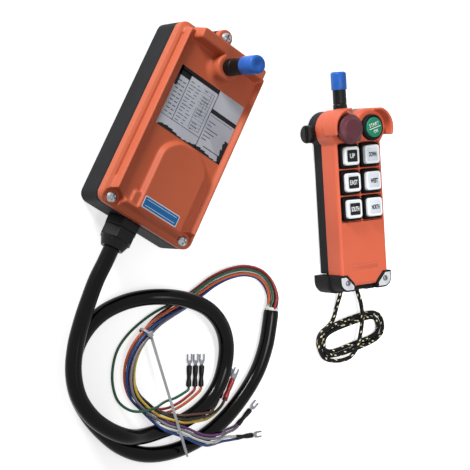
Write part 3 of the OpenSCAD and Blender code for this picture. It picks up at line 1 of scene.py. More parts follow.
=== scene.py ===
"""Scene of a crane radio remote control.

The set is a wall-mounted receiver with its coiled lead and fork terminals, and a hand-held
transmitter with push keys and a wrist cord. Both lie on their backs on a white floor.
"""
import json
import logging
import math
from dataclasses import dataclass, field
from enum import Enum
from functools import lru_cache
from typing import Callable, Iterable, Optional, Sequence

import bmesh
import bpy
from mathutils import Matrix, Vector

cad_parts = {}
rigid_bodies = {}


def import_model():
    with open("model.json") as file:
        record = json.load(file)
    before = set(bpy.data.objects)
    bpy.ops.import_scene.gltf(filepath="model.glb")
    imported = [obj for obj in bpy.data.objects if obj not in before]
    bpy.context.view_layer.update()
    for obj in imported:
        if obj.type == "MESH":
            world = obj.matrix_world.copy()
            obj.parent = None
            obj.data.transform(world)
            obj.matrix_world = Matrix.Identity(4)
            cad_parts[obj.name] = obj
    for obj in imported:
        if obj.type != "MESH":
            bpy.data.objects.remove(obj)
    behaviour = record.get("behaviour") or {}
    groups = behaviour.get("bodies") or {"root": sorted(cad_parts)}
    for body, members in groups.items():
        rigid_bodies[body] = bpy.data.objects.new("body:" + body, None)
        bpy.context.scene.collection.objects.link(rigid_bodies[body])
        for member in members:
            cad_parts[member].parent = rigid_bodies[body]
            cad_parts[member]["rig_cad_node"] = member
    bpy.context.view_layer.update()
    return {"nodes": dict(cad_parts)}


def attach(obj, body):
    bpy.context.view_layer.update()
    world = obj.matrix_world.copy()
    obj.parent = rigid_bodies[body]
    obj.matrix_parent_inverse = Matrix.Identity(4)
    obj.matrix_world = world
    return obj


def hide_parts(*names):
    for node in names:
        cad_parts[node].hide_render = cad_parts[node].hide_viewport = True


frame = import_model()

LOG = logging.getLogger("crane_remote")

MM = 0.001
Point = tuple[float, float, float]
Loop = list[Vector]
Shape = tuple[list[Vector], list[list[int]]]

# Place of the transmitter beside the receiver, as in the part's source
HANDSET = Matrix.Translation((0.262, -0.026, 0.0)) @ Matrix.Rotation(math.radians(33), 4, "Z")
RECEIVER = Matrix.Identity(4)
UP = Vector((0, 0, 1))

# Angle from which an edge stays sharp, and the share of a softened copy's faces that is kept
SHARP_ANGLE = math.radians(50)
KEPT_SHARE = 0.3
FLOOR_Z = -0.0005
FLOOR_HALF = 6.0


def linear(value: float) -> float:
    """Turns an sRGB value of 0 to 255 into a linear one of 0 to 1.

    Args:
        value: The sRGB value.

    Returns:
        The linear value.
    """
    c = value / 255
    return c / 12.92 if c <= 0.04045 else ((c + 0.055) / 1.055) ** 2.4


class Swatch(Enum):
    """A set of colours, each an sRGB value of 0 to 255."""

    @property
    def rgba(self) -> tuple[float, float, float, float]:
        """The colour in the linear values that a shader takes."""
        return (*[linear(c) for c in self.value], 1.0)


class Tint(Swatch):
    """Colours of the set."""

    ORANGE = (192, 94, 63)
    # Painted light: the handset's orange is a lighter copy of the receiver's, for the brighter
    # light on the handset.
    ORANGE_HANDSET_LIT = (206, 96, 68)
    # The pale colours lighten raised edges, partly as wear and partly as painted highlight; some
    # also cloud a main colour or dull a metal.
    ORANGE_PALE = (212, 118, 84)
    ORANGE_FIELD = (190, 88, 66)
    CHARCOAL = (27, 28, 30)
    CHARCOAL_PALE = (62, 64, 66)
    BLACK = (11, 11, 12)
    JET = (7, 7, 8)
    BLACK_PALE = (40, 40, 42)
    RUBBER = (17, 17, 18)
    RUBBER_PALE = (48, 48, 48)
    SEAL = (12, 12, 12)
    STEEL = (176, 178, 182)
    TIN = (196, 198, 202)
    PEWTER = (122, 125, 132)
    NICKEL = (205, 205, 202)
    BLUE_CAP = (30, 92, 182)
    BLUE_PALE = (78, 132, 206)
    BOARD = (34, 98, 62)
    BOARD_TRACK = (56, 128, 84)
    RELAY = (46, 84, 150)
    WINDING = (214, 176, 54)
    STRIP = (48, 132, 78)
    MAROON = (86, 42, 50)
    MAROON_PALE = (112, 66, 74)
    GREEN = (14, 122, 88)
    GREEN_PALE = (70, 166, 136)
    KEY_WHITE = (228, 233, 237)
    KEY_LIT = (250, 252, 253)
    PLATE = (236, 238, 240)
    PLATE_DULL = (196, 198, 202)
    STEM = (196, 196, 194)
    SWITCH = (38, 38, 40)
    BATTERY = (76, 82, 92)
    TIE = (150, 154, 160)
    LABEL = (176, 179, 190)
    LABEL_INK = (24, 25, 29)
    STICKER_BLUE = (12, 102, 160)
    STICKER_EDGE = (206, 214, 224)
    KEY_PALE = (210, 216, 224)
    LEGEND_WHITE = (244, 246, 246)
    LEGEND_DARK = (9, 10, 12)
    KEY_DARK = (22, 23, 26)
    FILM = (206, 206, 200)
    FLECK = (226, 218, 176)
    SLEEVE_RED = (186, 34, 34)


class WireTint(Swatch):
    """Insulation colours of the ten wires."""

    BLACK = (17, 17, 19)
    BROWN = (82, 50, 40)
    RED = (154, 34, 40)
    ORANGE = (204, 92, 44)
    YELLOW = (214, 182, 72)
    GREEN = (14, 84, 56)
    BLUE = (22, 60, 122)
    VIOLET = (96, 50, 104)
    GREY = (132, 130, 136)
    WHITE = (216, 216, 214)


# Shader node groups


def set_inputs(node: bpy.types.Node, values: dict[str, object]) -> None:
    """Sets inputs of a node.

    Args:
        node: The node.
        values: The inputs' names and values.
    """
    for key, value in values.items():
        node.inputs[key].default_value = value


@dataclass(frozen=True)
class Socket:
    """One socket of a node group: its name, its kind and its value if it is an input."""

    name: str
    kind: str = "NodeSocketFloat"
    value: object = None


class GroupSheet:
    """A node group under construction, with short calls to add nodes and links."""

    def __init__(self, name: str, inputs: Sequence[Socket], outputs: Sequence[Socket]) -> None:
        """Makes the group with its sockets.

        Args:
            name: Name of the group.
            inputs: Its input sockets.
            outputs: Its output sockets.
        """
        self.tree = bpy.data.node_groups.new(name, "ShaderNodeTree")
        for way, sockets in (("INPUT", inputs), ("OUTPUT", outputs)):
            for s in sockets:
                made = self.tree.interface.new_socket(s.name, in_out=way, socket_type=s.kind)
                if s.value is not None:
                    made.default_value = s.value
        self.given = self.tree.nodes.new("NodeGroupInput").outputs
        self.result = self.tree.nodes.new("NodeGroupOutput").inputs

    def node(self, kind: str, **values: object) -> bpy.types.Node:
        """Adds a node and sets its properties.

        Args:
            kind: The node's type name.
            **values: Properties of the node.

        Returns:
            The node.
        """
        made = self.tree.nodes.new(kind)
        for key, value in values.items():
            setattr(made, key, value)
        return made

    def join(self, source: object, target: object) -> None:
        """Links a socket to an input, or sets the input to a plain value.

        Args:
            source: The socket or the value.
            target: The input.
        """
        if isinstance(source, bpy.types.NodeSocket):
            self.tree.links.new(source, target)
        else:
            target.default_value = source

    def sum(self, kind: str, a: object, b: object = 0.0, c: object = None) -> bpy.types.NodeSocket:
        """Adds a math node.

        Args:
            kind: The operation.
            a: First value or socket.
            b: Second value or socket.
            c: Third value or socket, where the operation has one.

        Returns:
            The node's output.
        """
        made = self.node("ShaderNodeMath", operation=kind)
        self.join(a, made.inputs[0])
        self.join(b, made.inputs[1])
        if c is not None:
            self.join(c, made.inputs[2])
        return made.outputs[0]

    def ramp(self, value: object, low: float, high: float, out_low: float = 0.0,
             out_high: float = 1.0) -> bpy.types.NodeSocket:
        """Maps a value from one range to another, held at both ends.

        Args:
            value: The value or socket.
            low: Start of its range.
            high: End of its range.
            out_low: What the start becomes.
            out_high: What the end becomes.

        Returns:
            The node's output.
        """
        made = self.node("ShaderNodeMapRange")
        self.join(value, made.inputs["Value"])
        set_inputs(made, {"From Min": low, "From Max": high, "To Min": out_low,
                          "To Max": out_high})
        return made.outputs["Result"]

    def mixed(self, share: object, a: object, b: object) -> bpy.types.NodeSocket:
        """Mixes two colours.

        Args:
            share: Share of the second colour.
            a: First colour or socket.
            b: Second colour or socket.

        Returns:
            The node's output.
        """
        made = self.node("ShaderNodeMix", data_type="RGBA")
        self.join(share, made.inputs["Factor"])
        self.join(a, made.inputs["A"])
        self.join(b, made.inputs["B"])
        return made.outputs["Result"]

    def noise(self, vector: object, scale: object, detail: float = 2.0) -> bpy.types.NodeSocket:
        """Adds a noise texture.

        Args:
            vector: Where it is looked up.
            scale: Its scale.
            detail: Its octaves.

        Returns:
            The texture's value.
        """
        made = self.node("ShaderNodeTexNoise")
        self.join(vector, made.inputs["Vector"])
        self.join(scale, made.inputs["Scale"])
        made.inputs["Detail"].default_value = detail
        return made.outputs["Fac"]

    def place(self, output: str = "Object") -> bpy.types.NodeSocket:
        """Adds a texture coordinate of the piece.

        Args:
            output: Which coordinate.

        Returns:
            The coordinate's socket.
        """
        return self.node("ShaderNodeTexCoord").outputs[output]

    def stretched(self, source: object, scale: Point) -> bpy.types.NodeSocket:
        """Scales a coordinate along each of its axes.

        Args:
            source: The coordinate.
            scale: Its three factors.

        Returns:
            The scaled coordinate.
        """
        made = self.node("ShaderNodeMapping")
        self.join(source, made.inputs["Vector"])
        made.inputs["Scale"].default_value = scale
        return made.outputs["Vector"]

    def send(self, colour: object, swing: object, height: object) -> None:
        """Sends out a surface: its colour, its varied roughness and its height.

        Args:
            colour: The colour.
            swing: What moves the roughness about its middle.
            height: What raises the surface.
        """
        self.join(colour, self.result["Colour"])
        self.join(self.sum("MULTIPLY_ADD", swing, self.given["Swing"], self.given["Roughness"]),
                  self.result["Roughness"])
        self.join(height, self.result["Height"])


COLOUR = "NodeSocketColor"
SURFACE_OUT = (Socket("Colour", COLOUR), Socket("Roughness"), Socket("Height"))


@lru_cache(maxsize=None)
def moulded_grain() -> bpy.types.NodeTree:
    """Builds the group for moulded plastic and rubber: clouded colour, sheen and fine grain.

    Returns:
        The group.
    """
    g = GroupSheet("moulded_grain", (
        Socket("Colour", COLOUR, (0.5, 0.5, 0.5, 1)), Socket("Shade", COLOUR, (0.4, 0.4, 0.4, 1)),
        Socket("Clouding", value=0.3), Socket("Grain", value=1600.0),
        Socket("Roughness", value=0.5), Socket("Swing", value=0.1)), SURFACE_OUT)
    cloud_scale, sheen_scale = 28.0, 70.0
    spot = g.place()
    cloud = g.ramp(g.noise(spot, cloud_scale, 4.0), 0.35, 0.65)
    colour = g.mixed(g.sum("MULTIPLY", cloud, g.given["Clouding"]), g.given["Colour"],
                     g.given["Shade"])
    swing = g.sum("SUBTRACT", g.noise(spot, sheen_scale, 3.0), 0.5)
    g.send(colour, swing, g.noise(spot, g.given["Grain"], 2.0))
    return g.tree


@lru_cache(maxsize=None)
def rubbed_and_highlit_edges() -> bpy.types.NodeTree:
    """Builds the group that lightens a piece's raised edges: partly wear from hands, partly a
    painted highlight where light catches them.

    Returns:
        The group.
    """
    g = GroupSheet("rubbed_and_highlit_edges", (
        Socket("Colour", COLOUR, (0.5, 0.5, 0.5, 1)), Socket("Rubbed", COLOUR, (0.7, 0.7, 0.7, 1)),
        Socket("Amount", value=0.5)), (Socket("Colour", COLOUR),))
    edge_from, edge_full, edge_patch_scale = 0.515, 0.60, 160.0
    # Painted highlight and wear: convex edges, found by pointiness, are lightened in noisy patches.
    point = g.node("ShaderNodeNewGeometry").outputs["Pointiness"]
    edge = g.ramp(point, edge_from, edge_full)
    edge_patches = g.ramp(g.noise(g.place(), edge_patch_scale, 4.0), 0.38, 0.62)
    share = g.sum("MULTIPLY", g.sum("MULTIPLY", edge, edge_patches), g.given["Amount"])
    g.join(g.mixed(share, g.given["Colour"], g.given["Rubbed"]), g.result["Colour"])
    return g.tree


@lru_cache(maxsize=None)
def lengthwise_scuffs() -> bpy.types.NodeTree:
    """Builds the group for extruded insulation: fine streaks that run along the cable.

    Returns:
        The group.
    """
    g = GroupSheet("lengthwise_scuffs", (
        Socket("Colour", COLOUR, (0.1, 0.1, 0.1, 1)), Socket("Scuff", COLOUR, (0.2, 0.2, 0.2, 1)),
        Socket("Amount", value=0.4), Socket("Roughness", value=0.3), Socket("Swing", value=0.2)),
        SURFACE_OUT)
    along_and_around, patch_scale = (0.02, 9.0, 1.0), 45.0
    streak = g.noise(g.stretched(g.place("UV"), along_and_around), 5.0, 5.0)
    patch = g.ramp(g.noise(g.place(), patch_scale, 3.0), 0.4, 0.7)
    share = g.sum("MULTIPLY", g.sum("MULTIPLY", g.ramp(streak, 0.5, 0.75), patch),
                  g.given["Amount"])
    g.send(g.mixed(share, g.given["Colour"], g.given["Scuff"]), g.sum("SUBTRACT", streak, 0.5),
           streak)
    return g.tree


@lru_cache(maxsize=None)
def braided_sleeve() -> bpy.types.NodeTree:
    """Builds the group for a braided cord with pale flecks, from its lengthwise coordinates.

    Returns:
        The group.
    """
    g = GroupSheet("braided_sleeve", (
        Socket("Colour", COLOUR, (0.02, 0.02, 0.02, 1)),
        Socket("Fleck", COLOUR, (0.7, 0.7, 0.5, 1)),
        Socket("Weave Crown", COLOUR, (0.05, 0.05, 0.05, 1)), Socket("Pitch", value=3.4),
        Socket("Strands", value=8.0), Socket("Roughness", value=0.6),
        Socket("Swing", value=0.2)), SURFACE_OUT)
    parts = g.node("ShaderNodeSeparateXYZ")
    g.join(g.place("UV"), parts.inputs[0])
    along, around = parts.outputs[0], parts.outputs[1]
    turns = g.sum("MULTIPLY", g.sum("MULTIPLY", around, g.given["Strands"]), math.tau)
    run = g.sum("MULTIPLY", g.sum("DIVIDE", along, g.given["Pitch"]), math.tau)
    one = g.sum("SINE", g.sum("ADD", turns, run))
    two = g.sum("SINE", g.sum("SUBTRACT", turns, run))
    weave = g.sum("MULTIPLY_ADD", g.sum("MULTIPLY", one, two), 0.5, 0.5)
    # Flecks: cells of a slanted lattice round the cord, each with a spot in it
    cell = g.node("ShaderNodeCombineXYZ")
    for axis, turns_by, runs_by in ((0, 0.9, 0.105), (1, 3.0, -0.1)):
        g.join(g.sum("MULTIPLY_ADD", around, turns_by, g.sum("MULTIPLY", along, runs_by)),
               cell.inputs[axis])
    spots = g.node("ShaderNodeTexVoronoi", voronoi_dimensions="2D")
    g.join(cell.outputs[0], spots.inputs["Vector"])
    set_inputs(spots, {"Scale": 1.0})
    spot_rim, spot_core = 0.2, 0.165
    spot = g.ramp(spots.outputs["Distance"], spot_rim, spot_core)
    # Painted shade and sheen: the weave's hollows take the dark colour and its crowns the lighter
    # one, following its height.
    crown_and_hollow = g.mixed(weave, g.given["Colour"], g.given["Weave Crown"])
    g.send(g.mixed(spot, crown_and_hollow, g.given["Fleck"]), weave, weave)
    return g.tree


@lru_cache(maxsize=None)
def brushed_metal() -> bpy.types.NodeTree:
    """Builds the group for plated metal: a turned or drawn grain with dull patches.

    Returns:
        The group.
    """
    g = GroupSheet("brushed_metal", (
        Socket("Colour", COLOUR, (0.6, 0.6, 0.6, 1)), Socket("Dull", COLOUR, (0.4, 0.4, 0.4, 1)),
        Socket("Roughness", value=0.3), Socket("Swing", value=0.25)), SURFACE_OUT)
    line_scale, patch_scale, dulling = 900.0, 220.0, 0.5
    line = g.noise(g.stretched(g.place(), (1.0, 7.0, 1.0)), line_scale, 3.0)
    patch = g.ramp(g.noise(g.place(), patch_scale, 3.0), 0.4, 0.7)
    colour = g.mixed(g.sum("MULTIPLY", patch, dulling), g.given["Colour"], g.given["Dull"])
    g.send(colour, line, line)
    return g.tree


# Finishes


@dataclass(frozen=True)
class Finish:
    """A finish: the record's slot, how it looks and the effect that carries its detail."""

    slot: str
    tint: Swatch
    effect: Callable[[], bpy.types.NodeTree]
    extra: tuple[tuple[str, object], ...] = ()
    # Colour and strength of the lightened edges: partly wear, partly painted highlight.
    rubbed: Optional[Tint] = None
    rubbed_and_highlit_amount: float = 0.0
    metallic: float = 0.0
    bump_mm: float = 0.02
    bump_strength: float = 0.3
    coat: float = 0.0
    coat_roughness: float = 0.12
    specular: float = 0.5
    name: str = ""

    def material(self) -> bpy.types.Material:
        """Builds the material once and returns it.

        Returns:
            The material of this finish.
        """
        title = "finish_" + (self.name or self.slot)
        known = bpy.data.materials.get(title)
        if known:
            return known
        mat = bpy.data.materials.new(title)
        mat.use_nodes = True
        tree = mat.node_tree
        shader = tree.nodes["Principled BSDF"]
        group = tree.nodes.new("ShaderNodeGroup")
        group.node_tree = self.effect()
        group.inputs["Colour"].default_value = self.tint.rgba
        for key, value in self.extra:
            group.inputs[key].default_value = value.rgba if isinstance(value, Swatch) else value
        colour = group.outputs["Colour"]
        # Lightened raised edges: partly wear, partly painted highlight.
        if self.rubbed:
            edge = tree.nodes.new("ShaderNodeGroup")
            edge.node_tree = rubbed_and_highlit_edges()
            tree.links.new(colour, edge.inputs["Colour"])
            set_inputs(edge, {"Rubbed": self.rubbed.rgba, "Amount": self.rubbed_and_highlit_amount})
            colour = edge.outputs["Colour"]
        tree.links.new(colour, shader.inputs["Base Color"])
        tree.links.new(group.outputs["Roughness"], shader.inputs["Roughness"])
        bump = tree.nodes.new("ShaderNodeBump")
        set_inputs(bump, {"Distance": self.bump_mm * MM, "Strength": self.bump_strength})
        tree.links.new(group.outputs["Height"], bump.inputs["Height"])
        tree.links.new(bump.outputs["Normal"], shader.inputs["Normal"])
        set_inputs(shader, {"Metallic": self.metallic, "Coat Weight": self.coat,
                            "Coat Roughness": self.coat_roughness,
                            "Specular IOR Level": self.specular})
        return mat

    def dress(self, *pieces: bpy.types.Object) -> None:
        """Gives pieces this finish, with a material slot where they have none.

        Args:
            *pieces: The pieces or CAD nodes.
        """
        mat = self.material()
        for piece in pieces:
            if len(piece.material_slots) == 0:
                piece.data.materials.append(mat)
            for s in piece.material_slots:
                s.material = mat
            LOG.info("%s: %s", piece.name, mat.name)


def moulded(slot: str, tint: Tint, shade: Tint, rough: float, rubbed: Optional[Tint] = None,
            amount: float = 0.5, clouding: float = 0.3, grain: float = 1500.0,
            swing: float = 0.12, **more: object) -> Finish:
    """Makes a moulded plastic or rubber finish.

    Args:
        slot: The record's slot.
        tint: Main colour.
        shade: Colour of the clouding.
        rough: Middle roughness.
        rubbed: Colour of the lightened edges, partly wear and partly painted highlight.
        amount: How strongly the edges are lightened.
        clouding: Strength of the clouding.
        grain: Scale of the fine grain.
        swing: How far the roughness varies.
        **more: Other fields of the finish.

    Returns:
        The finish.
    """
    extra = (("Shade", shade), ("Clouding", clouding), ("Grain", grain), ("Roughness", rough),
             ("Swing", swing))
    return Finish(slot, tint, moulded_grain, extra, rubbed, amount, **more)


def metal(slot: str, tint: Tint, dull: Tint, rough: float, **more: object) -> Finish:
    """Makes a plated metal finish.

    Args:
        slot: The record's slot.
        tint: Main colour.
        dull: Colour of the dull patches.
        rough: Middle roughness.
        **more: Other fields of the finish.

    Returns:
        The finish.
    """
    return Finish(slot, tint, brushed_metal, (("Dull", dull), ("Roughness", rough)),
                  metallic=1.0, bump_mm=0.01, bump_strength=0.25, **more)


def jacket(slot: str, tint: Swatch, rough: float, scuff: Tint, amount: float,
           **more: object) -> Finish:
    """Makes an extruded insulation finish.

    Args:
        slot: The record's slot.
        tint: Main colour.
        rough: Middle roughness.
        scuff: Colour of the streaks.
        amount: Strength of the streaks.
        **more: Other fields of the finish.

    Returns:
        The finish.
    """
    return Finish(slot, tint, lengthwise_scuffs,
                  (("Scuff", scuff), ("Amount", amount), ("Roughness", rough), ("Swing", 0.08)),
                  bump_mm=0.01, bump_strength=0.06, **more)


COVER = moulded("orange_shell", Tint.ORANGE, Tint.ORANGE_PALE, 0.46, Tint.ORANGE_PALE, 0.6,
                clouding=0.1, grain=1300, bump_strength=0.22, specular=0.22)
# Painted light: a lighter copy of the cover's orange, for the brighter light on the handset.
CASE = moulded("orange_shell", Tint.ORANGE_HANDSET_LIT, Tint.ORANGE_PALE, 0.46, Tint.ORANGE_PALE,
               0.6, clouding=0.1, grain=1300, bump_strength=0.22, specular=0.25,
               name="orange_case")
NAME_FIELD = moulded("orange_shell", Tint.ORANGE_FIELD, Tint.ORANGE_HANDSET_LIT, 0.5, clouding=0.3,
                     name="name_field", specular=0.25)
NAME_EDGE = moulded("orange_shell", Tint.ORANGE_PALE, Tint.ORANGE_HANDSET_LIT, 0.4, clouding=0.2,
                    name="name_edge", specular=0.25)
BASE = moulded("black_shell", Tint.CHARCOAL, Tint.BLACK, 0.55, Tint.CHARCOAL_PALE, 0.35,
               grain=1200, specular=0.1)
RUBBER = moulded("rubber_black", Tint.RUBBER, Tint.BLACK, 0.62, Tint.RUBBER_PALE, 0.5,
                 grain=2200, bump_mm=0.03, specular=0.14)
BOOTS = moulded("boot_black", Tint.JET, Tint.SEAL, 0.5, Tint.BLACK_PALE, 0.2, grain=2200,
                specular=0.08)
SEAL = moulded("seal_black", Tint.SEAL, Tint.BLACK, 0.6)
STUBS = moulded("antenna_black", Tint.BLACK, Tint.SEAL, 0.42, Tint.BLACK_PALE, 0.4, grain=1000,
                specular=0.2)
GLAND = moulded("gland_black", Tint.BLACK, Tint.SEAL, 0.38, Tint.BLACK_PALE, 0.4, grain=1100,
                specular=0.18)
CAPS = moulded("blue_cap", Tint.BLUE_CAP, Tint.BLUE_PALE, 0.4, Tint.BLUE_PALE, 0.5,
               clouding=0.12, specular=0.25)
MAROON = moulded("stop_maroon", Tint.MAROON, Tint.MAROON_PALE, 0.46, Tint.MAROON_PALE, 0.6,
                 clouding=0.35, specular=0.2)
GREEN = moulded("start_green", Tint.GREEN, Tint.GREEN_PALE, 0.34, Tint.GREEN_PALE, 0.4,
                clouding=0.12, grain=900, specular=0.25)
KEYS = moulded("key_white", Tint.KEY_WHITE, Tint.KEY_LIT, 0.3, clouding=0.2, grain=900,
               bump_strength=0.12)
PLATES = moulded("plate_white", Tint.PLATE_DULL, Tint.PLATE, 0.4, clouding=0.2)
STEM = moulded("stem_grey", Tint.STEM, Tint.TIE, 0.4)
SWITCHES = moulded("switch_dark", Tint.SWITCH, Tint.BLACK, 0.4)
WRAP = moulded("battery_wrap", Tint.BATTERY, Tint.SWITCH, 0.35)
BOARD = moulded("board_green", Tint.BOARD, Tint.BOARD_TRACK, 0.35, clouding=0.8, grain=500)
RELAYS = moulded("relay_blue", Tint.RELAY, Tint.BLUE_CAP, 0.35)
WINDING = moulded("winding_yellow", Tint.WINDING, Tint.FLECK, 0.45, grain=700)
STRIP = moulded("strip_green", Tint.STRIP, Tint.BOARD_TRACK, 0.42)
TIE = moulded("tie_grey", Tint.TIE, Tint.STEM, 0.36, clouding=0.4, grain=900)
SLEEVES_BLACK = moulded("sleeve_black", Tint.JET, Tint.SEAL, 0.34, Tint.BLACK_PALE, 0.3,
                        specular=0.2)
SLEEVES_RED = moulded("sleeve_red", Tint.SLEEVE_RED, Tint.MAROON, 0.34, clouding=0.25)
SCREWS = metal("steel_screw", Tint.STEEL, Tint.CHARCOAL_PALE, 0.3)
CASE_SCREWS = metal("steel_screw", Tint.PEWTER, Tint.CHARCOAL_PALE, 0.34, name="case_screw")
NICKEL = metal("nickel", Tint.NICKEL, Tint.STEEL, 0.22)
FORKS = metal("nickel", Tint.PEWTER, Tint.STEEL, 0.3, name="fork_metal")
TIN = metal("tin_can", Tint.TIN, Tint.STEEL, 0.32)
SHEATH = jacket("sheath_black", Tint.JET, 0.15, Tint.CHARCOAL, 0.25, specular=0.13)
# The charcoal weave crowns over jet hollows are painted sheen and shade.
CORD = Finish("cord_fleck", Tint.JET, braided_sleeve,
              (("Fleck", Tint.FLECK), ("Weave Crown", Tint.CHARCOAL)), bump_mm=0.12,
              bump_strength=0.7, specular=0.12)
PAPER = moulded("plate_white", Tint.LABEL, Tint.PLATE, 0.6, clouding=0.2, name="label_sheet",
                bump_strength=0.1, specular=0.3)
INK = moulded("plate_white", Tint.LABEL_INK, Tint.CHARCOAL, 0.5, name="label_ink",
              bump_strength=0.05, specular=0.15)
STICKER_EDGE = moulded("plate_white", Tint.STICKER_EDGE, Tint.PLATE, 0.3, name="sticker_edge")
STICKER_BLUE = moulded("blue_cap", Tint.STICKER_BLUE, Tint.BLUE_CAP, 0.28, name="sticker_blue",
                       clouding=0.15, specular=0.25)
KEY_PALE = moulded("plate_white", Tint.KEY_PALE, Tint.KEY_WHITE, 0.42, name="key_inlay_pale",
                   clouding=0.2, specular=0.3)
LEGEND_WHITE = moulded("plate_white", Tint.LEGEND_WHITE, Tint.PLATE, 0.4, name="legend_white")
LEGEND_DARK = moulded("sleeve_black", Tint.LEGEND_DARK, Tint.BLACK, 0.5, name="legend_dark",
                      specular=0.15)
KEY_DARK = moulded("sleeve_black", Tint.KEY_DARK, Tint.SEAL, 0.5, name="key_inlay_dark",
                   specular=0.15)
FILM = moulded("plate_white", Tint.FILM, Tint.PLATE, 0.4, name="filler_film", clouding=0.5)


# Mesh making


def added(name: str, data: bpy.types.ID) -> bpy.types.Object:
    """Adds an object to the scene.

    Args:
        name: Name of the object.
        data: Its mesh, curve, lamp or camera.

    Returns:
        The object.
    """
    obj = bpy.data.objects.new(name, data)
    bpy.context.scene.collection.objects.link(obj)
    return obj


def shaded(mesh: bpy.types.Mesh) -> None:
    """Shades a mesh smooth but for its sharp edges.

    Args:
        mesh: The mesh.
    """
    mesh.shade_smooth()
    mesh.set_sharp_from_angle(angle=SHARP_ANGLE)


def evaluated(obj: bpy.types.Object) -> bpy.types.Mesh:
    """Turns an object with its modifiers into a bare mesh and removes the object.

    Args:
        obj: The object.

    Returns:
        The mesh, without materials.
    """
    bpy.context.view_layer.update()
    ready = obj.evaluated_get(bpy.context.evaluated_depsgraph_get())
    mesh = bpy.data.meshes.new_from_object(ready)
    bpy.data.objects.remove(obj)
    mesh.materials.clear()
    return mesh


def piece_of(name: str, vertices: Iterable[Vector], faces: Iterable[Sequence[int]], body: str,
             finish: Finish, place: Matrix = RECEIVER) -> bpy.types.Object:
    """Makes a smooth-shaded piece from points in millimetres.

    Args:
        name: Name of the piece.
        vertices: Its points, in the frame of its case.
        faces: Its faces.
        body: The CAD body that it rides on.
        finish: Its finish.
        place: Where its case lies.

    Returns:
        The piece.
    """
    mesh = bpy.data.meshes.new(name)
    mesh.from_pydata([place @ (Vector(v) * MM) for v in vertices], [], [tuple(f) for f in faces])
    tidy = bmesh.new()
    tidy.from_mesh(mesh)
    bmesh.ops.remove_doubles(tidy, verts=tidy.verts, dist=1e-7)
    bmesh.ops.recalc_face_normals(tidy, faces=tidy.faces)
    tidy.to_mesh(mesh)
    tidy.free()
    shaded(mesh)
    obj = added(name, mesh)
    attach(obj, body)
    finish.dress(obj)
    return obj


def eased(profile: Sequence[tuple[float, float]], radius: float,
          steps: int) -> list[tuple[float, float]]:
    """Rounds the corners of an open outline.

    Args:
        profile: Radius and height of each corner, in millimetres.
        radius: Radius of the rounding, held to 0.45 of the shorter side.
        steps: Points in each rounding, less one.

    Returns:
        The outline with arcs for its inner corners.
    """
    p = [Vector(q) for q in profile]
    out = [p[0]]
    for a, b, c in zip(p, p[1:], p[2:]):
        cut = min(radius, 0.45 * (a - b).length, 0.45 * (c - b).length)
        start = b + (a - b).normalized() * cut
        end = b + (c - b).normalized() * cut
        for k in range(steps + 1):
            t = k / steps
            out.append(start * (1 - t) ** 2 + b * 2 * t * (1 - t) + end * t * t)
    out.append(p[-1])
    return [(q.x, q.y) for q in out]


def turned(profile: Sequence[tuple[float, float]], sides: int = 72, ribs: int = 0,
           rib_depth: float = 0.0, rib_from: float = 0.0) -> Shape:
    """Turns an outline round +Z.

    Args:
        profile: Radius and height of each point.
        sides: Points round the axis.
        ribs: Flutes round the outline.
        rib_depth: Depth of a flute.
        rib_from: Radius from which on the outline is fluted.

    Returns:
        The points and the faces.
    """
    points, faces = [], []
    for r, z in profile:
        for k in range(sides):
            a = math.tau * k / sides
            cut = ribs and r > max(rib_depth, rib_from)
            q = r - rib_depth * (0.5 - 0.5 * math.cos(a * ribs)) if cut else r
            points.append(Vector((q * math.cos(a), q * math.sin(a), z)))
    for i in range(len(profile) - 1):
        for k in range(sides):
            m = (k + 1) % sides
            faces.append([i * sides + k, i * sides + m, (i + 1) * sides + m, (i + 1) * sides + k])
    for i, way in ((0, -1), (len(profile) - 1, 1)):
        if profile[i][0] > 1e-6:
            faces.append([i * sides + k for k in range(sides)][::way])
    return points, faces


def rounded_loop(w: float, l: float, r: float, z: float, steps: int, x: float,
                 y: float) -> Loop:
    """Draws a rounded rectangle at one height, anticlockwise.

    Args:
        w: Width.
        l: Length.
        r: Radius of the corners.
        z: Height.
        steps: Points in each corner, less one.
        x: Middle, across.
        y: Middle, along.

    Returns:
        The points.
    """
    loop = []
    for cx, cy, start in ((1, 1, 0), (-1, 1, 90), (-1, -1, 180), (1, -1, 270)):
        for k in range(steps + 1):
            a = math.radians(start + 90 * k / steps)
            loop.append(Vector((x + cx * (w / 2 - r) + r * math.cos(a),
                                y + cy * (l / 2 - r) + r * math.sin(a), z)))
    return loop


def stacked(rows: Iterable[tuple[float, float, float, float]], steps: int, x: float,
            y: float) -> list[Loop]:
    """Draws rounded rectangles over one middle.

    Args:
        rows: Width, length, corner radius and height of each.
        steps: Points in each corner, less one.
        x: Middle, across.
        y: Middle, along.

    Returns:
        The loops.
    """
    return [rounded_loop(w, l, r, z, steps, x, y) for w, l, r, z in rows]


def lofted(loops: Sequence[Loop], closed: bool = False) -> Shape:
    """Joins loops of equal length by faces, with a fan at each end.

    Args:
        loops: The loops, from first to last.
        closed: Whether the last loop joins the first, as in a ring.

    Returns:
        The points and the faces.
    """
    n = len(loops[0])
    points = [q for loop in loops for q in loop]
    faces = []
    last = len(loops) if closed else len(loops) - 1
    for i in range(last):
        j = (i + 1) % len(loops)
        for k in range(n):
            m = (k + 1) % n
            faces.append([i * n + k, i * n + m, j * n + m, j * n + k])
    if not closed:
        faces.append(list(range(n))[::-1])
        faces.append([(len(loops) - 1) * n + k for k in range(n)])
    return points, faces


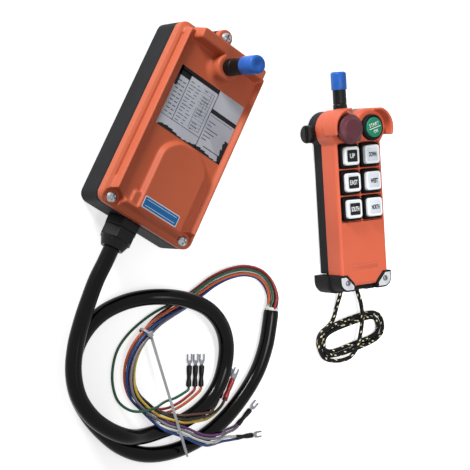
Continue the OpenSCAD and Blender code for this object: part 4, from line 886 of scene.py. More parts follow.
def slab(x0: float, y0: float, x1: float, y1: float, heights: tuple[float, float]) -> Shape:
    """Makes a flat bar.

    Args:
        x0: Left side.
        y0: Lower side.
        x1: Right side.
        y1: Upper side.
        heights: Its under side and its top.

    Returns:
        The points and the faces.
    """
    return lofted([[Vector((x0, y0, z)), Vector((x1, y0, z)), Vector((x1, y1, z)),
                    Vector((x0, y1, z))] for z in heights])


def moved(shape: Shape, matrix: Matrix) -> Shape:
    """Moves a shape.

    Args:
        shape: Its points and faces.
        matrix: The move.

    Returns:
        The moved points and the faces.
    """
    return [matrix @ v for v in shape[0]], shape[1]


def merged(*shapes: Shape) -> Shape:
    """Puts several shapes into one.

    Args:
        *shapes: Their points and faces.

    Returns:
        The points and the faces of all.
    """
    points: list[Vector] = []
    faces: list[list[int]] = []
    for p, f in shapes:
        faces += [[k + len(points) for k in face] for face in f]
        points += p
    return points, faces


def at(x: float, y: float, z: float) -> Matrix:
    """Makes a move in millimetres.

    Args:
        x: Across.
        y: Along.
        z: Up.

    Returns:
        The move.
    """
    return Matrix.Translation((x, y, z))


def turn(degrees: float, axis: str) -> Matrix:
    """Makes a turn about an axis.

    Args:
        degrees: Its angle.
        axis: Letter of the axis.

    Returns:
        The turn.
    """
    return Matrix.Rotation(math.radians(degrees), 4, axis)


def on_handset(x: float, y: float, z: float) -> Matrix:
    """Makes the frame of a point of the transmitter, for lengths in metres.

    Args:
        x: Across the transmitter, in millimetres.
        y: Along it.
        z: Above its back.

    Returns:
        The frame.
    """
    return HANDSET @ Matrix.Translation(Vector((x, y, z)) * MM)


def softened(nodes: Sequence[str], name: str, body: str, finish: Finish, voxel: float,
             passes: int, extra: Optional[Shape] = None) -> bpy.types.Object:
    """Copies CAD solids as one moulding with the soft edges that the real piece has.

    Args:
        nodes: The CAD nodes.
        name: Name of the new piece.
        body: The CAD body that it rides on.
        finish: Its finish.
        voxel: Size of the remeshing grid, in millimetres.
        passes: Smoothing passes.
        extra: A shape in millimetres that is moulded on.

    Returns:
        The piece, which replaces the nodes.
    """
    weld = bmesh.new()
    for node in nodes:
        weld.from_mesh(frame["nodes"][node].data)
    mesh = bpy.data.meshes.new(name + "_work")
    if extra:
        moulded_on = bpy.data.meshes.new(name + "_added")
        moulded_on.from_pydata([v * MM for v in extra[0]], [], extra[1])
        weld.from_mesh(moulded_on)
    bmesh.ops.remove_doubles(weld, verts=weld.verts, dist=1e-6)
    weld.to_mesh(mesh)
    weld.free()
    work = added(name + "_work", mesh)
    remesh = work.modifiers.new("remesh", "REMESH")
    remesh.mode = "VOXEL"
    remesh.voxel_size = voxel * MM
    smooth = work.modifiers.new("smooth", "SMOOTH")
    smooth.factor = 0.5
    smooth.iterations = passes
    thin = work.modifiers.new("thin", "DECIMATE")
    thin.ratio = KEPT_SHARE
    result = evaluated(work)
    result.name = name
    result.shade_smooth()
    obj = added(name, result)
    normal = obj.modifiers.new("face_normals", "WEIGHTED_NORMAL")
    normal.keep_sharp = False
    normal.weight = 60
    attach(obj, body)
    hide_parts(*nodes)
    finish.dress(obj)
    return obj


# Routes of cords

FINE_STEP = 0.8


def unit_heading(route: Sequence[Vector], i: int) -> Vector:
    """Finds the direction of a route at one of its points, as the part's source takes it.

    Args:
        route: The route's points.
        i: Number of the point.

    Returns:
        The direction.
    """
    return (route[min(i + 1, len(route) - 1)] - route[max(i - 1, 0)]).normalized()


def beside(route: Sequence[Vector], i: int, r: float, angle: float) -> Vector:
    """Finds a point beside a route, at a radius and an angle round it.

    Args:
        route: The route's points.
        i: Number of the point.
        r: Distance from the route.
        angle: Angle in degrees, from the route's left side up.

    Returns:
        The point.
    """
    heading = unit_heading(route, i)
    left = UP.cross(heading).normalized()
    up = heading.cross(left)
    a = math.radians(angle)
    return route[i] + r * (math.cos(a) * left + math.sin(a) * up)


def smooth_route(points: Sequence[Vector], step: float, floor: float) -> list[Vector]:
    """Draws one smooth curve through points, sampled at even steps.

    Args:
        points: The points, in millimetres.
        step: Distance between samples.
        floor: Least height of the curve's middle.

    Returns:
        The samples, with the first and last point kept.
    """
    p = [points[0] * 2 - points[1], *points, points[-1] * 2 - points[-2]]
    fine: list[Vector] = []
    for a, b, c, d in zip(p, p[1:], p[2:], p[3:]):
        t1 = math.sqrt((b - a).length)
        t2 = t1 + math.sqrt((c - b).length)
        t3 = t2 + math.sqrt((d - c).length)
        parts = max(4, round((c - b).length / FINE_STEP))
        for k in range(parts):
            t = t1 + (t2 - t1) * k / parts
            a1 = a * ((t1 - t) / t1) + b * (t / t1)
            a2 = b * ((t2 - t) / (t2 - t1)) + c * ((t - t1) / (t2 - t1))
            a3 = c * ((t3 - t) / (t3 - t2)) + d * ((t - t2) / (t3 - t2))
            b1 = a1 * ((t2 - t) / t2) + a2 * (t / t2)
            b2 = a2 * ((t3 - t) / (t3 - t1)) + a3 * ((t - t1) / (t3 - t1))
            fine.append(b1 * ((t2 - t) / (t2 - t1)) + b2 * ((t - t1) / (t2 - t1)))
    fine.append(points[-1].copy())
    for q in fine:
        q.z = max(q.z, floor)
    total = length_of(fine)
    count = max(2, round(total / step))
    out, run, i = [fine[0]], 0.0, 0
    for k in range(1, count):
        target = total * k / count
        while run + (fine[i + 1] - fine[i]).length < target:
            run += (fine[i + 1] - fine[i]).length
            i += 1
        share = (target - run) / (fine[i + 1] - fine[i]).length
        out.append(fine[i].lerp(fine[i + 1], share))
    out.append(fine[-1])
    return out


def length_of(route: Sequence[Vector]) -> float:
    """Measures a route.

    Args:
        route: Its points.

    Returns:
        Its length.
    """
    return sum((b - a).length for a, b in zip(route, route[1:]))


def swept(name: str, route: Sequence[Vector], radius: float, sides: int, body: str,
          finish: Finish, end_ease: float = 0.0) -> bpy.types.Object:
    """Sweeps a round section along a route, with coordinates along and around it.

    Args:
        name: Name of the piece.
        route: The route's points, in millimetres.
        radius: Radius of the section.
        sides: Sides of the section.
        body: The CAD body that it rides on.
        finish: Its finish.
        end_ease: How much the section draws in at its free end.

    Returns:
        The tube, closed at both ends.
    """
    n = len(route)
    heading = unit_heading(route, 0)
    across = UP.cross(heading).normalized()
    rings: list[Loop] = []
    along = [0.0]
    for a, b in zip(route, route[1:]):
        along.append(along[-1] + (b - a).length)
    for i, middle in enumerate(route):
        new = unit_heading(route, i)
        across = (across - new * across.dot(new)).normalized()
        up = new.cross(across)
        r = radius - (end_ease if i == n - 1 else 0.0)
        rings.append([middle + r * (math.cos(math.tau * k / sides) * across
                                    + math.sin(math.tau * k / sides) * up) for k in range(sides)])
    mesh = bpy.data.meshes.new(name)
    points = [q * MM for ring in rings for q in ring]
    faces = [(i * sides + k, i * sides + (k + 1) % sides, (i + 1) * sides + (k + 1) % sides,
              (i + 1) * sides + k) for i in range(n - 1) for k in range(sides)]
    faces += [tuple(range(sides))[::-1], tuple((n - 1) * sides + k for k in range(sides))]
    mesh.from_pydata(points, [], faces)
    uv = mesh.uv_layers.new(name="UVMap").data
    for f, poly in enumerate(mesh.polygons):
        for c, corner in enumerate(poly.loop_indices):
            if f < (n - 1) * sides:
                i, k = divmod(f, sides)
                uv[corner].uv = (along[i + (c > 1)], (k + (c in (1, 2))) / sides)
            else:
                uv[corner].uv = (along[-1], 0.5)
    shaded(mesh)
    obj = added(name, mesh)
    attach(obj, body)
    finish.dress(obj)
    return obj


# Camera and studio


@dataclass
class Viewpoint:
    """The photograph's camera."""

    place: Point = (-643.3, -403.0, 1181.4)
    axis: Point = (0.5246, 0.2488, -0.8142)
    up: Point = (-0.4619, 0.8865, -0.0267)
    focal_px: float = 1500.0
    image_px: float = 470.0
    sensor: float = 36.0
    clip: tuple[float, float] = (0.05, 20.0)

    def build(self) -> None:
        """Makes the camera and sets it as the scene's."""
        data = bpy.data.cameras.new("photo_camera")
        data.sensor_width = self.sensor
        data.lens = self.focal_px / self.image_px * self.sensor
        data.clip_start, data.clip_end = self.clip
        cam = added("photo_camera", data)
        back = -Vector(self.axis).normalized()
        right = Vector(self.up).cross(back).normalized()
        up = back.cross(right)
        cam.matrix_world = Matrix.Translation(Vector(self.place) * MM) @ Matrix(
            (right, up, back)).transposed().to_4x4()
        bpy.context.scene.camera = cam


@dataclass(frozen=True)
class Lamp:
    """A square soft lamp: where it hangs and what it faces in metres, side, watts and beam."""

    name: str
    place: Point
    target: Point
    size: float
    energy: float
    spread: float = 180.0

    def build(self) -> None:
        """Adds the lamp to the scene."""
        data = bpy.data.lights.new(self.name, "AREA")
        data.size = self.size
        data.spread = math.radians(self.spread)
        data.energy = self.energy
        obj = added(self.name, data)
        obj.location = self.place
        way = Vector(self.target) - Vector(self.place)
        obj.rotation_euler = way.to_track_quat("-Z", "Y").to_euler()


def seen_white(tree: bpy.types.NodeTree) -> bpy.types.NodeSocket:
    """Adds a mask that is 1 to the camera and in reflections.

    Args:
        tree: The node tree that takes it.

    Returns:
        The mask.
    """
    path = tree.nodes.new("ShaderNodeLightPath")
    either = tree.nodes.new("ShaderNodeMath")
    either.operation = "MAXIMUM"
    tree.links.new(path.outputs["Is Camera Ray"], either.inputs[0])
    tree.links.new(path.outputs["Is Glossy Ray"], either.inputs[1])
    return either.outputs[0]


@dataclass
class Studio:
    """White floor, soft lamps and an even surround."""

    ambient: float = 0.27
    floor_grey: float = 0.86
    floor_roughness: float = 0.9
    floor_specular: float = 0.1
    floor_glow: float = 0.66
    lamps: tuple[Lamp, ...] = (
        Lamp("key_lamp", (-1.67, 0.77, 0.48), (0.05, -0.03, 0.03), 0.5, 42.0),
        Lamp("handset_lamp", (0.12, -0.14, 0.62), (0.3, 0.0, 0.04), 0.25, 0.44, 62.0))

    def surround(self) -> None:
        """Makes the world: an even light, and white to the camera and in reflections."""
        world = bpy.data.worlds.new("surround")
        bpy.context.scene.world = world
        world.use_nodes = True
        tree = world.node_tree
        light = tree.nodes["Background"]
        set_inputs(light, {"Color": (1, 1, 1, 1)})
        strength = tree.nodes.new("ShaderNodeMapRange")
        set_inputs(strength, {"To Min": self.ambient, "To Max": 1.0})
        tree.links.new(seen_white(tree), strength.inputs["Value"])
        tree.links.new(strength.outputs["Result"], light.inputs["Strength"])

    def floor(self) -> None:
        """Makes the floor, which keeps soft shadows and shows white round them."""
        mesh = bpy.data.meshes.new("floor")
        corners = [(x * FLOOR_HALF, y * FLOOR_HALF, FLOOR_Z)
                   for x, y in ((-1, -1), (1, -1), (1, 1), (-1, 1))]
        mesh.from_pydata(corners, [], [(0, 1, 2, 3)])
        obj = added("floor", mesh)
        mat = bpy.data.materials.new("floor_white")
        mat.use_nodes = True
        tree = mat.node_tree
        shader = tree.nodes["Principled BSDF"]
        grey = self.floor_grey
        set_inputs(shader, {"Base Color": (grey, grey, grey, 1),
                            "Roughness": self.floor_roughness,
                            "Specular IOR Level": self.floor_specular,
                            "Emission Color": (1, 1, 1, 1)})
        lift = tree.nodes.new("ShaderNodeMath")
        lift.operation = "MULTIPLY"
        lift.inputs[1].default_value = self.floor_glow
        tree.links.new(seen_white(tree), lift.inputs[0])
        tree.links.new(lift.outputs[0], shader.inputs["Emission Strength"])
        mesh.materials.append(mat)

    def build(self) -> None:
        """Makes the lamps, the surround and the floor."""
        bpy.context.scene.view_settings.view_transform = "Standard"
        self.surround()
        self.floor()
        for lamp in self.lamps:
            lamp.build()


# The lead of the receiver


@dataclass
class Wire:
    """One wire: its place in the bundle, its terminal and the points that it takes alone."""

    tint: WireTint
    radius: float
    angle: float
    follows: int
    terminal: int
    side: float
    own: tuple[Point, ...]

    @property
    def key(self) -> str:
        """The wire's colour word."""
        return self.tint.name.lower()


@dataclass
class Lead:
    """The receiver's lead: sheath, ten wires, sleeves, forks and the tie."""

    cable_d: float = 15.0
    wire_d: float = 2.6
    outer: float = 4.6
    inner: float = 1.7
    bundle_turn: float = 250.0
    sleeve_d: float = 5.4
    sleeve_l: float = 20.0
    sheath_sides: int = 32
    sheath_ease: float = 0.4
    sheath_step: float = 4.0
    sheath_low: float = 7.6
    wire_sides: int = 14
    wire_step: float = 2.0
    wire_low: float = 1.32
    fork_w: float = 6.4
    fork_slot: float = 3.2
    fork_l: float = 12.2
    fork_root: float = 5.8
    tie_w: float = 2.6
    tie_thick: float = 1.0
    tail_l: float = 122.0
    tail_climb: float = 6.5
    tail_step: float = 0.5
    tie_at: int = 12
    tie_heading: float = -44.0
    route: tuple[Point, ...] = (
        (-8.5, -121, 17), (-8.5, -136, 17), (-9, -152, 17), (-8, -172, 18), (-6, -194, 19.5),
        (-2, -216, 21.2), (7, -237, 21.6), (22, -254, 22.4), (42, -264, 23.4), (63, -267, 23.4),
        (84, -265, 21.5), (106, -257, 12), (125, -244, 7.6), (142, -228, 7.6), (156, -209, 7.6),
        (164, -187, 7.6), (163, -164, 7.6), (152, -143, 11.5), (134, -130, 17), (113, -124, 20.2),
        (92, -125, 20.2), (71, -131, 16), (50, -142, 10), (31, -157, 7.6), (16, -175, 7.6),
        (8, -195, 7.6), (7, -216, 7.6), (14, -234, 7.6), (27, -250, 7.6), (46, -262, 7.6),
        (68, -270, 7.6), (92, -274, 7.6), (117, -271, 7.6), (143, -258, 7.6), (166, -237, 7.6),
        (184, -210, 7.6), (195, -180, 7.6), (200, -150, 7.6), (198, -124, 7.6), (192, -103, 7.6),
        (187, -89, 7.6))
    bundle: tuple[Point, ...] = (
        (187, -89, 7.6), (186, -86.2, 7.6), (182.8, -77.2, 7.6), (173, -68, 6.8), (159, -64, 6.2),
        (142, -68, 6), (126, -79, 6), (112, -95, 6), (102, -112, 6), (92, -128, 6), (82, -142, 6),
        (73, -156, 6.4), (67, -171, 7.2), (64, -187, 6.6), (66, -203, 6), (73, -217, 6),
        (84, -227, 6.2), (98, -231, 7))
    terminals: tuple[tuple[float, float, float, float], ...] = (
        (137, -194, 2.8, 116), (143.4, -191, 2.8, 116), (149.8, -188, 2.8, 116),
        (174.4, -189, 2.8, 92), (181.2, -189, 2.8, 92), (177.8, -187, 7.4, 92),
        (207, -203, 2.8, 70), (211, -215, 2.8, 30))
    red: tuple[int, ...] = (4, 5)
    pieces: dict[int, list[bpy.types.Object]] = field(default_factory=dict)

    def wires(self) -> list[Wire]:
        """The ten wires with their own last points.

        Returns:
            The wires, as the part's source lays them.
        """
        o, i = self.outer, self.inner
        return [
            Wire(WireTint.BLACK, o, 32, 18, 5, 0, (
                (111, -229.5, 11), (123.5, -229, 14.8), (136, -226, 18.6), (147.5, -219.8, 19.8),
                (157.5, -214, 18.5), (166, -208.5, 13.5), (173, -202, 9.5), (177, -195.5, 7.6))),
            Wire(WireTint.BROWN, i, 30, 18, 3, 0, (
                (112, -229, 7.2), (124, -226.5, 11.5), (135, -223, 16.4), (146, -217, 17.2),
                (156, -211.5, 17), (164, -206.5, 15), (170, -201.5, 7.5), (173.6, -196, 3.6))),
            Wire(WireTint.RED, o, 340, 18, 1, 0, (
                (112, -227.5, 2.6), (124, -222.5, 1.6), (134, -213, 1.6), (141, -202, 2.2))),
            Wire(WireTint.ORANGE, o, 238, 18, 2, 0, (
                (112, -231.5, 2), (126, -226, 1.6), (137.5, -215, 1.6), (146, -202, 2.2))),
            Wire(WireTint.YELLOW, o, 83, 18, 4, 0, (
                (111, -233, 13.4), (125, -231.4, 17.8), (138, -228.5, 17.6),
                (149.5, -222.6, 17.4), (160, -216.5, 15.5), (168.5, -211.5, 8.5),
                (175.5, -205, 4.2), (179.6, -198, 2.8))),
            Wire(WireTint.GREEN, o, 289, 10, 0, 0, (
                (78, -137, 4.6), (68, -150, 3), (60, -164, 1.8), (53, -180, 1.6), (50, -196, 1.6),
                (53, -212, 1.6), (61, -227, 1.6), (73, -238, 3), (86, -240.5, 8.5),
                (96, -235.5, 15), (105, -228, 15.4), (113, -221.5, 9), (120.5, -216, 3.5),
                (128.5, -210, 1.6), (135, -202, 2))),
            Wire(WireTint.BLUE, o, 186, 18, 7, -0.52, (
                (107, -239, 9.5), (116, -242.2, 15.2), (124, -243.3, 18.3), (135, -241.6, 18.2),
                (148, -240.2, 17.8), (161, -239.5, 17.6), (173, -237.2, 16.5),
                (184, -232.4, 10.5), (193, -227.4, 5), (200, -223.2, 2.8), (206, -219.7, 2.8))),
            Wire(WireTint.VIOLET, i, 150, 18, 6, 0.52, (
                (108, -233, 9.6), (116, -234, 11.8), (124, -234.8, 16.5), (135, -232.8, 18),
                (148, -231.4, 17.6), (161, -230.5, 17.6), (172, -227.4, 17), (182, -222, 16.5),
                (188.5, -218.5, 11), (196, -213, 4), (203, -207.2, 2.8))),
            Wire(WireTint.GREY, o, 135, 18, 6, -0.52, (
                (108, -236.2, 11), (116, -236.8, 13.6), (124, -237.6, 17.2), (135, -235.6, 18),
                (148, -234.3, 17.6), (161, -233.4, 17.6), (173, -230.3, 17), (183.5, -225, 16.3),
                (190.5, -221, 10.5), (198, -215.4, 4), (205, -209.4, 2.8))),
            Wire(WireTint.WHITE, i, 270, 18, 7, 0.52, (
                (108, -235.8, 6.2), (116, -240, 12.4), (124, -240.5, 17.6), (135, -238.6, 18.2),
                (148, -237.3, 17.8), (161, -236.4, 17.6), (173, -234, 17), (183, -229.4, 14.5),
                (191, -224.6, 8), (198.5, -220, 3.6), (204.6, -216.6, 2.8)))]

    def wire_points(self, wire: Wire) -> list[Vector]:
        """Whole route of one wire, from the sheath's end to its terminal.

        Args:
            wire: The wire.

        Returns:
            Its points, in millimetres.
        """
        bundle = [Vector(p) for p in self.bundle]
        points = []
        for i in range(wire.follows):
            turn = self.bundle_turn * (1 - max(i - 1, 0) / (len(bundle) - 2))
            points.append(beside(bundle, i, wire.radius, wire.angle - turn))
        points += [Vector(p) for p in wire.own]
        x, y, z, a = self.terminals[wire.terminal]
        a = math.radians(a)
        end = Vector((x, y, z)) + wire.side * self.wire_d * Vector((-math.sin(a), math.cos(a), 0))
        return points + [end - self.wire_d * Vector((math.cos(a), math.sin(a), 0)), end]

    def build_sheath(self) -> None:
        """Makes the thick black sheath and the torn end of its filler film."""
        route = smooth_route([Vector(p) for p in self.route], self.sheath_step, self.sheath_low)
        obj = swept("lead_sheath", route, self.cable_d / 2, self.sheath_sides, "receiver", SHEATH,
                    self.sheath_ease)
        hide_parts("cable_sheath")
        film = self.build_film(route[-1], unit_heading(route, len(route) - 1))
        LOG.info("sheath: %.1f mm", length_of(route))

    def build_film(self, end: Vector, heading: Vector) -> bpy.types.Object:
        """Makes the torn film that shows at the sheath's end.

        Args:
            end: Middle of the sheath's end.
            heading: Direction in which the sheath ends.

        Returns:
            The film.
        """
        across = UP.cross(heading).normalized()
        up = heading.cross(across)
        # Radius of each ring and how far it reaches past the sheath, out and back in
        rims = ((6.1, -0.5), (6.5, 1.6), (6.1, 3.0), (5.9, 3.0), (6.2, 1.6), (5.8, -0.5))
        sides, rings = 48, []
        for r, reach in rims:
            ring = []
            for k in range(sides):
                a = math.tau * k / sides
                torn = 1 + 0.45 * math.sin(3 * a + 0.6) + 0.3 * math.sin(7 * a) if reach > 0 else 1
                q = r - 0.25 * math.sin(9 * a) * (reach > 0)
                ring.append(end + heading * reach * torn
                            + q * (math.cos(a) * across + math.sin(a) * up))
            rings.append(ring)
        points, faces = lofted(rings, closed=True)
        return piece_of("lead_film", points, faces, "receiver", FILM)

    def terminal_frame(self, index: int) -> Matrix:
        """Makes a terminal's frame, whose +X runs from the sleeve's rear face to the fork.

        Args:
            index: Number of the terminal.

        Returns:
            The frame, in millimetres.
        """
        x, y, z, a = self.terminals[index]
        return at(x, y, z) @ turn(a, "Z")

    def build_terminal(self, index: int) -> None:
        """Makes one sleeve and its fork.

        Args:
            index: Number of the terminal.
        """
        place = self.terminal_frame(index)
        r, l = self.sleeve_d / 2, self.sleeve_l
        out = [(0.9, 0.8), (1.0, 0.05), (r - 0.5, 0.0), (r - 0.05, 0.9), (r - 0.15, 4.0),
               (r - 0.75, l * 0.42), (r - 0.65, l * 0.5), (r - 0.2, l * 0.66), (r - 0.02, l - 1.0),
               (r - 0.35, l), (0.3, l)]
        shape = turned(eased(out, radius=0.5, steps=3), sides=36)
        sleeve = piece_of(f"sleeve_{index + 1}", *moved(shape, place @ turn(90, "Y")), "receiver",
                          SLEEVES_RED if index in self.red else SLEEVES_BLACK)
        fork = piece_of(f"fork_{index + 1}", *moved(self.fork_shape(), place), "receiver", FORKS)
        self.pieces[index] = [sleeve, fork]

    def fork_shape(self) -> Shape:
        """Draws a stamped fork as a thin plate with eased edges.

        Returns:
            The plate, in the terminal's frame.
        """
        w, slot, neck, start = self.fork_w, self.fork_slot, 1.8, self.sleeve_l - 1.0
        tip, root, flare = start + self.fork_l, start + self.fork_root, 3.2
        swell = [(start + flare + flare * (1 - math.cos(t)), neck + 1.4 * math.sin(t))
                 for t in (0.5, 1.0, 1.57)]
        side = [(start, neck), (start + flare, neck), *swell, (tip - 0.9, w / 2),
                (tip, w / 2 - 0.8), (tip, slot / 2 + 0.1)]
        outline = [(x, -y) for x, y in side]
        outline += [(root + 1.6 - 1.6 * math.sin(t), -slot / 2 * math.cos(t))
                    for t in [k * math.pi / 8 for k in range(9)]]
        outline += side[::-1]
        middle = Vector((sum(p[0] for p in outline), 0)) / len(outline)
        loops = []
        for z, inset in ((-0.4, 0.985), (-0.3, 1.0), (0.3, 1.0), (0.4, 0.985)):
            loops.append([Vector((middle.x + (x - middle.x) * inset, y * inset, z))
                          for x, y in outline])
        return lofted(loops)

    def build_wires(self) -> None:
        """Makes the ten wires."""
        given: set[int] = set()
        for wire in self.wires():
            route = smooth_route(self.wire_points(wire), self.wire_step, self.wire_low)
            finish = jacket("insulation_" + wire.key, wire.tint, 0.34, Tint.STEM, 0.1, coat=0.1,
                            specular=0.3)
            obj = swept("lead_wire_" + wire.key, route, self.wire_d / 2, self.wire_sides,
                        "receiver", finish)
            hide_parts("wire_" + wire.key)
            given.add(wire.terminal)
            LOG.info("wire %s: %.1f mm", wire.key, length_of(route))

    def tail_shape(self) -> Shape:
        """Draws the tie's long tail, with fine ribs and a tapered end.

        Returns:
            The tail along +X.
        """
        taper, ribbed = self.tail_l - 6, self.tail_l - 14
        under, top, groove = -0.32, 0.38, 0.22
        rows = []
        for k in range(round(self.tail_l / self.tail_step) + 1):
            x = k * self.tail_step
            half = 1.3 if x < taper else 1.3 - 0.5 * (x - taper) / 6
            rib = groove + (0.12 if k % 2 and x < ribbed else 0.0)
            rows.append([Vector((x, y, z)) for y, z in (
                (-half, under), (half, under), (half, top), (half * 0.6, top),
                (half * 0.55, rib), (-half * 0.55, rib), (-half * 0.6, top), (-half, top))])
        return lofted(rows)

    def build_tie(self) -> None:
        """Makes the tie round the wires: strap, ribbed tail and head."""
        bundle = [Vector(p) for p in self.bundle]
        middle, h = bundle[self.tie_at], unit_heading(bundle, self.tie_at)
        ring_r, w, t = self.outer + self.wire_d / 2 + 0.1, self.tie_w, self.tie_thick
        frame_ring = Matrix.Translation(middle) @ Matrix.Rotation(
            math.atan2(h.y, h.x), 4, "Z") @ turn(90, "Y")
        section = [(ring_r, -w / 2 + 0.2), (ring_r + t * 0.7, -w / 2), (ring_r + t, -w / 2 + 0.4),
                   (ring_r + t, w / 2 - 0.4), (ring_r + t * 0.7, w / 2), (ring_r, w / 2 - 0.2)]
        loops = [[Vector((r * math.cos(a), r * math.sin(a), z)) for r, z in section]
                 for a in [math.tau * k / 64 for k in range(64)]]
        ring = moved(lofted(loops, closed=True), frame_ring)
        top = Matrix.Translation(middle + UP * (ring_r + t / 2)) @ turn(self.tie_heading, "Z")
        head = lofted(stacked(((4.0, 4.2, 0.8, 0.0), (5.0, 5.0, 1.0, 0.7), (5.0, 5.0, 1.0, 2.8),
                               (4.2, 4.2, 0.8, 3.55)), 6, 0, 0))
        climb = math.asin(self.tail_climb / self.tail_l)
        tail = moved(self.tail_shape(), top @ at(0, 0, 1.8) @ Matrix.Rotation(-climb, 4, "Y"))
        obj = piece_of("wire_tie", *merged(ring, moved(head, top), tail), "receiver", TIE)
        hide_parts("cable_tie")

    def build(self) -> None:
        """Makes the whole lead, its cords first."""
        for index in range(len(self.terminals)):
            self.build_terminal(index)
        self.build_sheath()
        self.build_wires()
        self.build_tie()
        for index, pair in self.pieces.items():
            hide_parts("sleeves_red" if index in self.red else "sleeves_black")
            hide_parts("fork_terminals")
        LOG.info("lead built")


@dataclass
class WristCord:
    """The transmitter's wrist cord, wound in a flat hank below it."""

    diameter: float = 4.2
    sides: int = 24
    mid: tuple[float, float] = (4, -50)
    turn: float = 10.0
    a: float = 44.0
    b: float = 24.0
    waist: float = 5.0
    square: float = 0.05
    step: float = 5.4
    rise: float = 4.9
    rest: float = 2.2
    first: float = 135.0
    last: float = 1310.0
    reverse: float = 630.0
    hank_step: float = 15.0
    exits: tuple[Point, Point] = ((-10, -1, 9), (12, -1, 9))
    start: tuple[Point, ...] = (
        (-10.8, -13, 6), (-12, -21, 3.2), (-14, -28, 2.3), (-18, -34, 2.2), (-24, -38.6, 2.2))
    end: tuple[Point, ...] = (
        (-21, -73, 8.2), (-13, -73.2, 10.4), (-5, -71, 11.9), (2, -66, 12), (7, -59, 12),
        (10.5, -50, 12), (13, -41, 12), (14.5, -32, 12), (14.7, -25, 11.7), (14.3, -17, 10.6),
        (13, -10, 9.5))
    route_step: float = 1.2
    route_low: float = 2.15

    def hank(self, q: float) -> Vector:
        """Finds a point of the hank's loops.

        Args:
            q: Angle along the loops, in degrees.

        Returns:
            The point in the transmitter's frame.
        """
        # The loops tighten up to the reversal, climb on to their second layer and widen again
        swell = self.step * (self.reverse - abs(q - self.reverse)) / 360
        climb = self.rise * max(0.0, min(1.0, (q - self.reverse + 90) / 180))
        s, c = math.sin(math.radians(q)), math.cos(math.radians(q))
        x = (self.a - swell) * (c - self.square * math.cos(math.radians(3 * q))) / (1 - self.square)
        y = s * (self.b - swell - self.waist * s * s)
        t = math.radians(self.turn)
        return Vector((self.mid[0] + x * math.cos(t) - y * math.sin(t),
                       self.mid[1] + x * math.sin(t) + y * math.cos(t), self.rest + climb))

    def points(self) -> list[Vector]:
        """Draws the cord from its left exit to its right one.

        Returns:
            Its points, in millimetres.
        """
        left, right = map(Vector, self.exits)
        count = int((self.last - self.first) / self.hank_step) + 1
        loops = [self.hank(self.first + k * self.hank_step) for k in range(count)]
        drop = Vector((0, self.diameter, 0))
        local = [left, left - drop, *map(Vector, self.start), *loops, *map(Vector, self.end),
                 right - drop, right]
        return [HANDSET @ (p * MM) / MM for p in local]

    def build(self) -> None:
        route = smooth_route(self.points(), self.route_step, self.route_low)
        obj = swept("braided_wrist_cord", route, self.diameter / 2, self.sides, "transmitter",
                    CORD)
        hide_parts("wrist_cord")
        LOG.info("wrist cord: %.1f mm", length_of(route))


@dataclass(frozen=True)
class Antenna:
    """A stub antenna with a ribbed foot and a blue cap, by its sizes in millimetres."""

    stub_d: float
    stub_l: float
    cap_d: float
    cap_l: float
    rod_d: float
    rod_l: float
    ribs_l: float
    lap: float = 4.0
    sides: int = 96
    knurl_sides: int = 240
    knurls: int = 30
    knurl_depth: float = 0.5

    def stub(self) -> Shape:
        """Draws the stub with its rod and its ribs.

        Returns:
            The stub, from its seat along +Z.
        """
        r, l, ribs, rod = self.stub_d / 2, self.stub_l, self.ribs_l, self.rod_d / 2
        foot = [(0.0, -self.rod_l), (rod, -self.rod_l), (rod, 0.0), (r - 0.5, 0.0), (r, 0.5),
                (r, ribs), (r - 0.55, ribs + 0.7), (r - 0.55, ribs + 1.1), (r - 0.25, ribs + 1.8),
                (r - 0.3, l - self.lap), (r - 0.3, l - 0.4), (0.0, l)]
        knurl = turned([(r - 0.32, 0.9), (r, 1.2), (r, ribs - 0.6), (r - 0.32, ribs - 0.3)],
                       self.knurl_sides, self.knurls, self.knurl_depth)
        return merged(turned(eased(foot, radius=0.35, steps=2), self.sides), knurl)

    def cap(self) -> Shape:
        """Draws the cap with its round shoulder and its dimple.

        Returns:
            The cap, from its open end along +Z.
        """
        r, d, l, e = self.stub_d / 2, self.cap_d, self.cap_l, self.cap_d * 0.16
        rim = [(d / 2 - e + e * math.cos(t), l - e + e * math.sin(t))
               for t in [k * math.pi / 20 for k in range(11)]]
        outline = [(r + 0.05, self.lap), (r + 0.05, 0.25), (r + 0.3, 0.0), (d / 2 - 0.3, 0.0),
                   (d / 2, 0.4), (d / 2, l - e), *rim[1:], (d * 0.2, l - 0.02),
                   (d * 0.15, l - 0.45), (0.0, l - 0.7)]
        return turned(outline, self.sides)

    def build(self, name: str, body: str, place: Matrix, nodes: tuple[str, str]) -> None:
        """Makes the stub and the cap.

        Args:
            name: First words of the two pieces' names.
            body: The CAD body that they ride on.
            place: Frame of the antenna, whose +Z runs out of its seat, in millimetres.
            nodes: The CAD nodes of the stub and of the cap.
        """
        piece = piece_of(name + "_stub", *moved(self.stub(), place), body, STUBS)
        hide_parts(nodes[0])
        seat = place @ at(0, 0, self.stub_l - self.lap)
        piece = piece_of(name + "_cap", *moved(self.cap(), seat), body, CAPS)
        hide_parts(nodes[1])


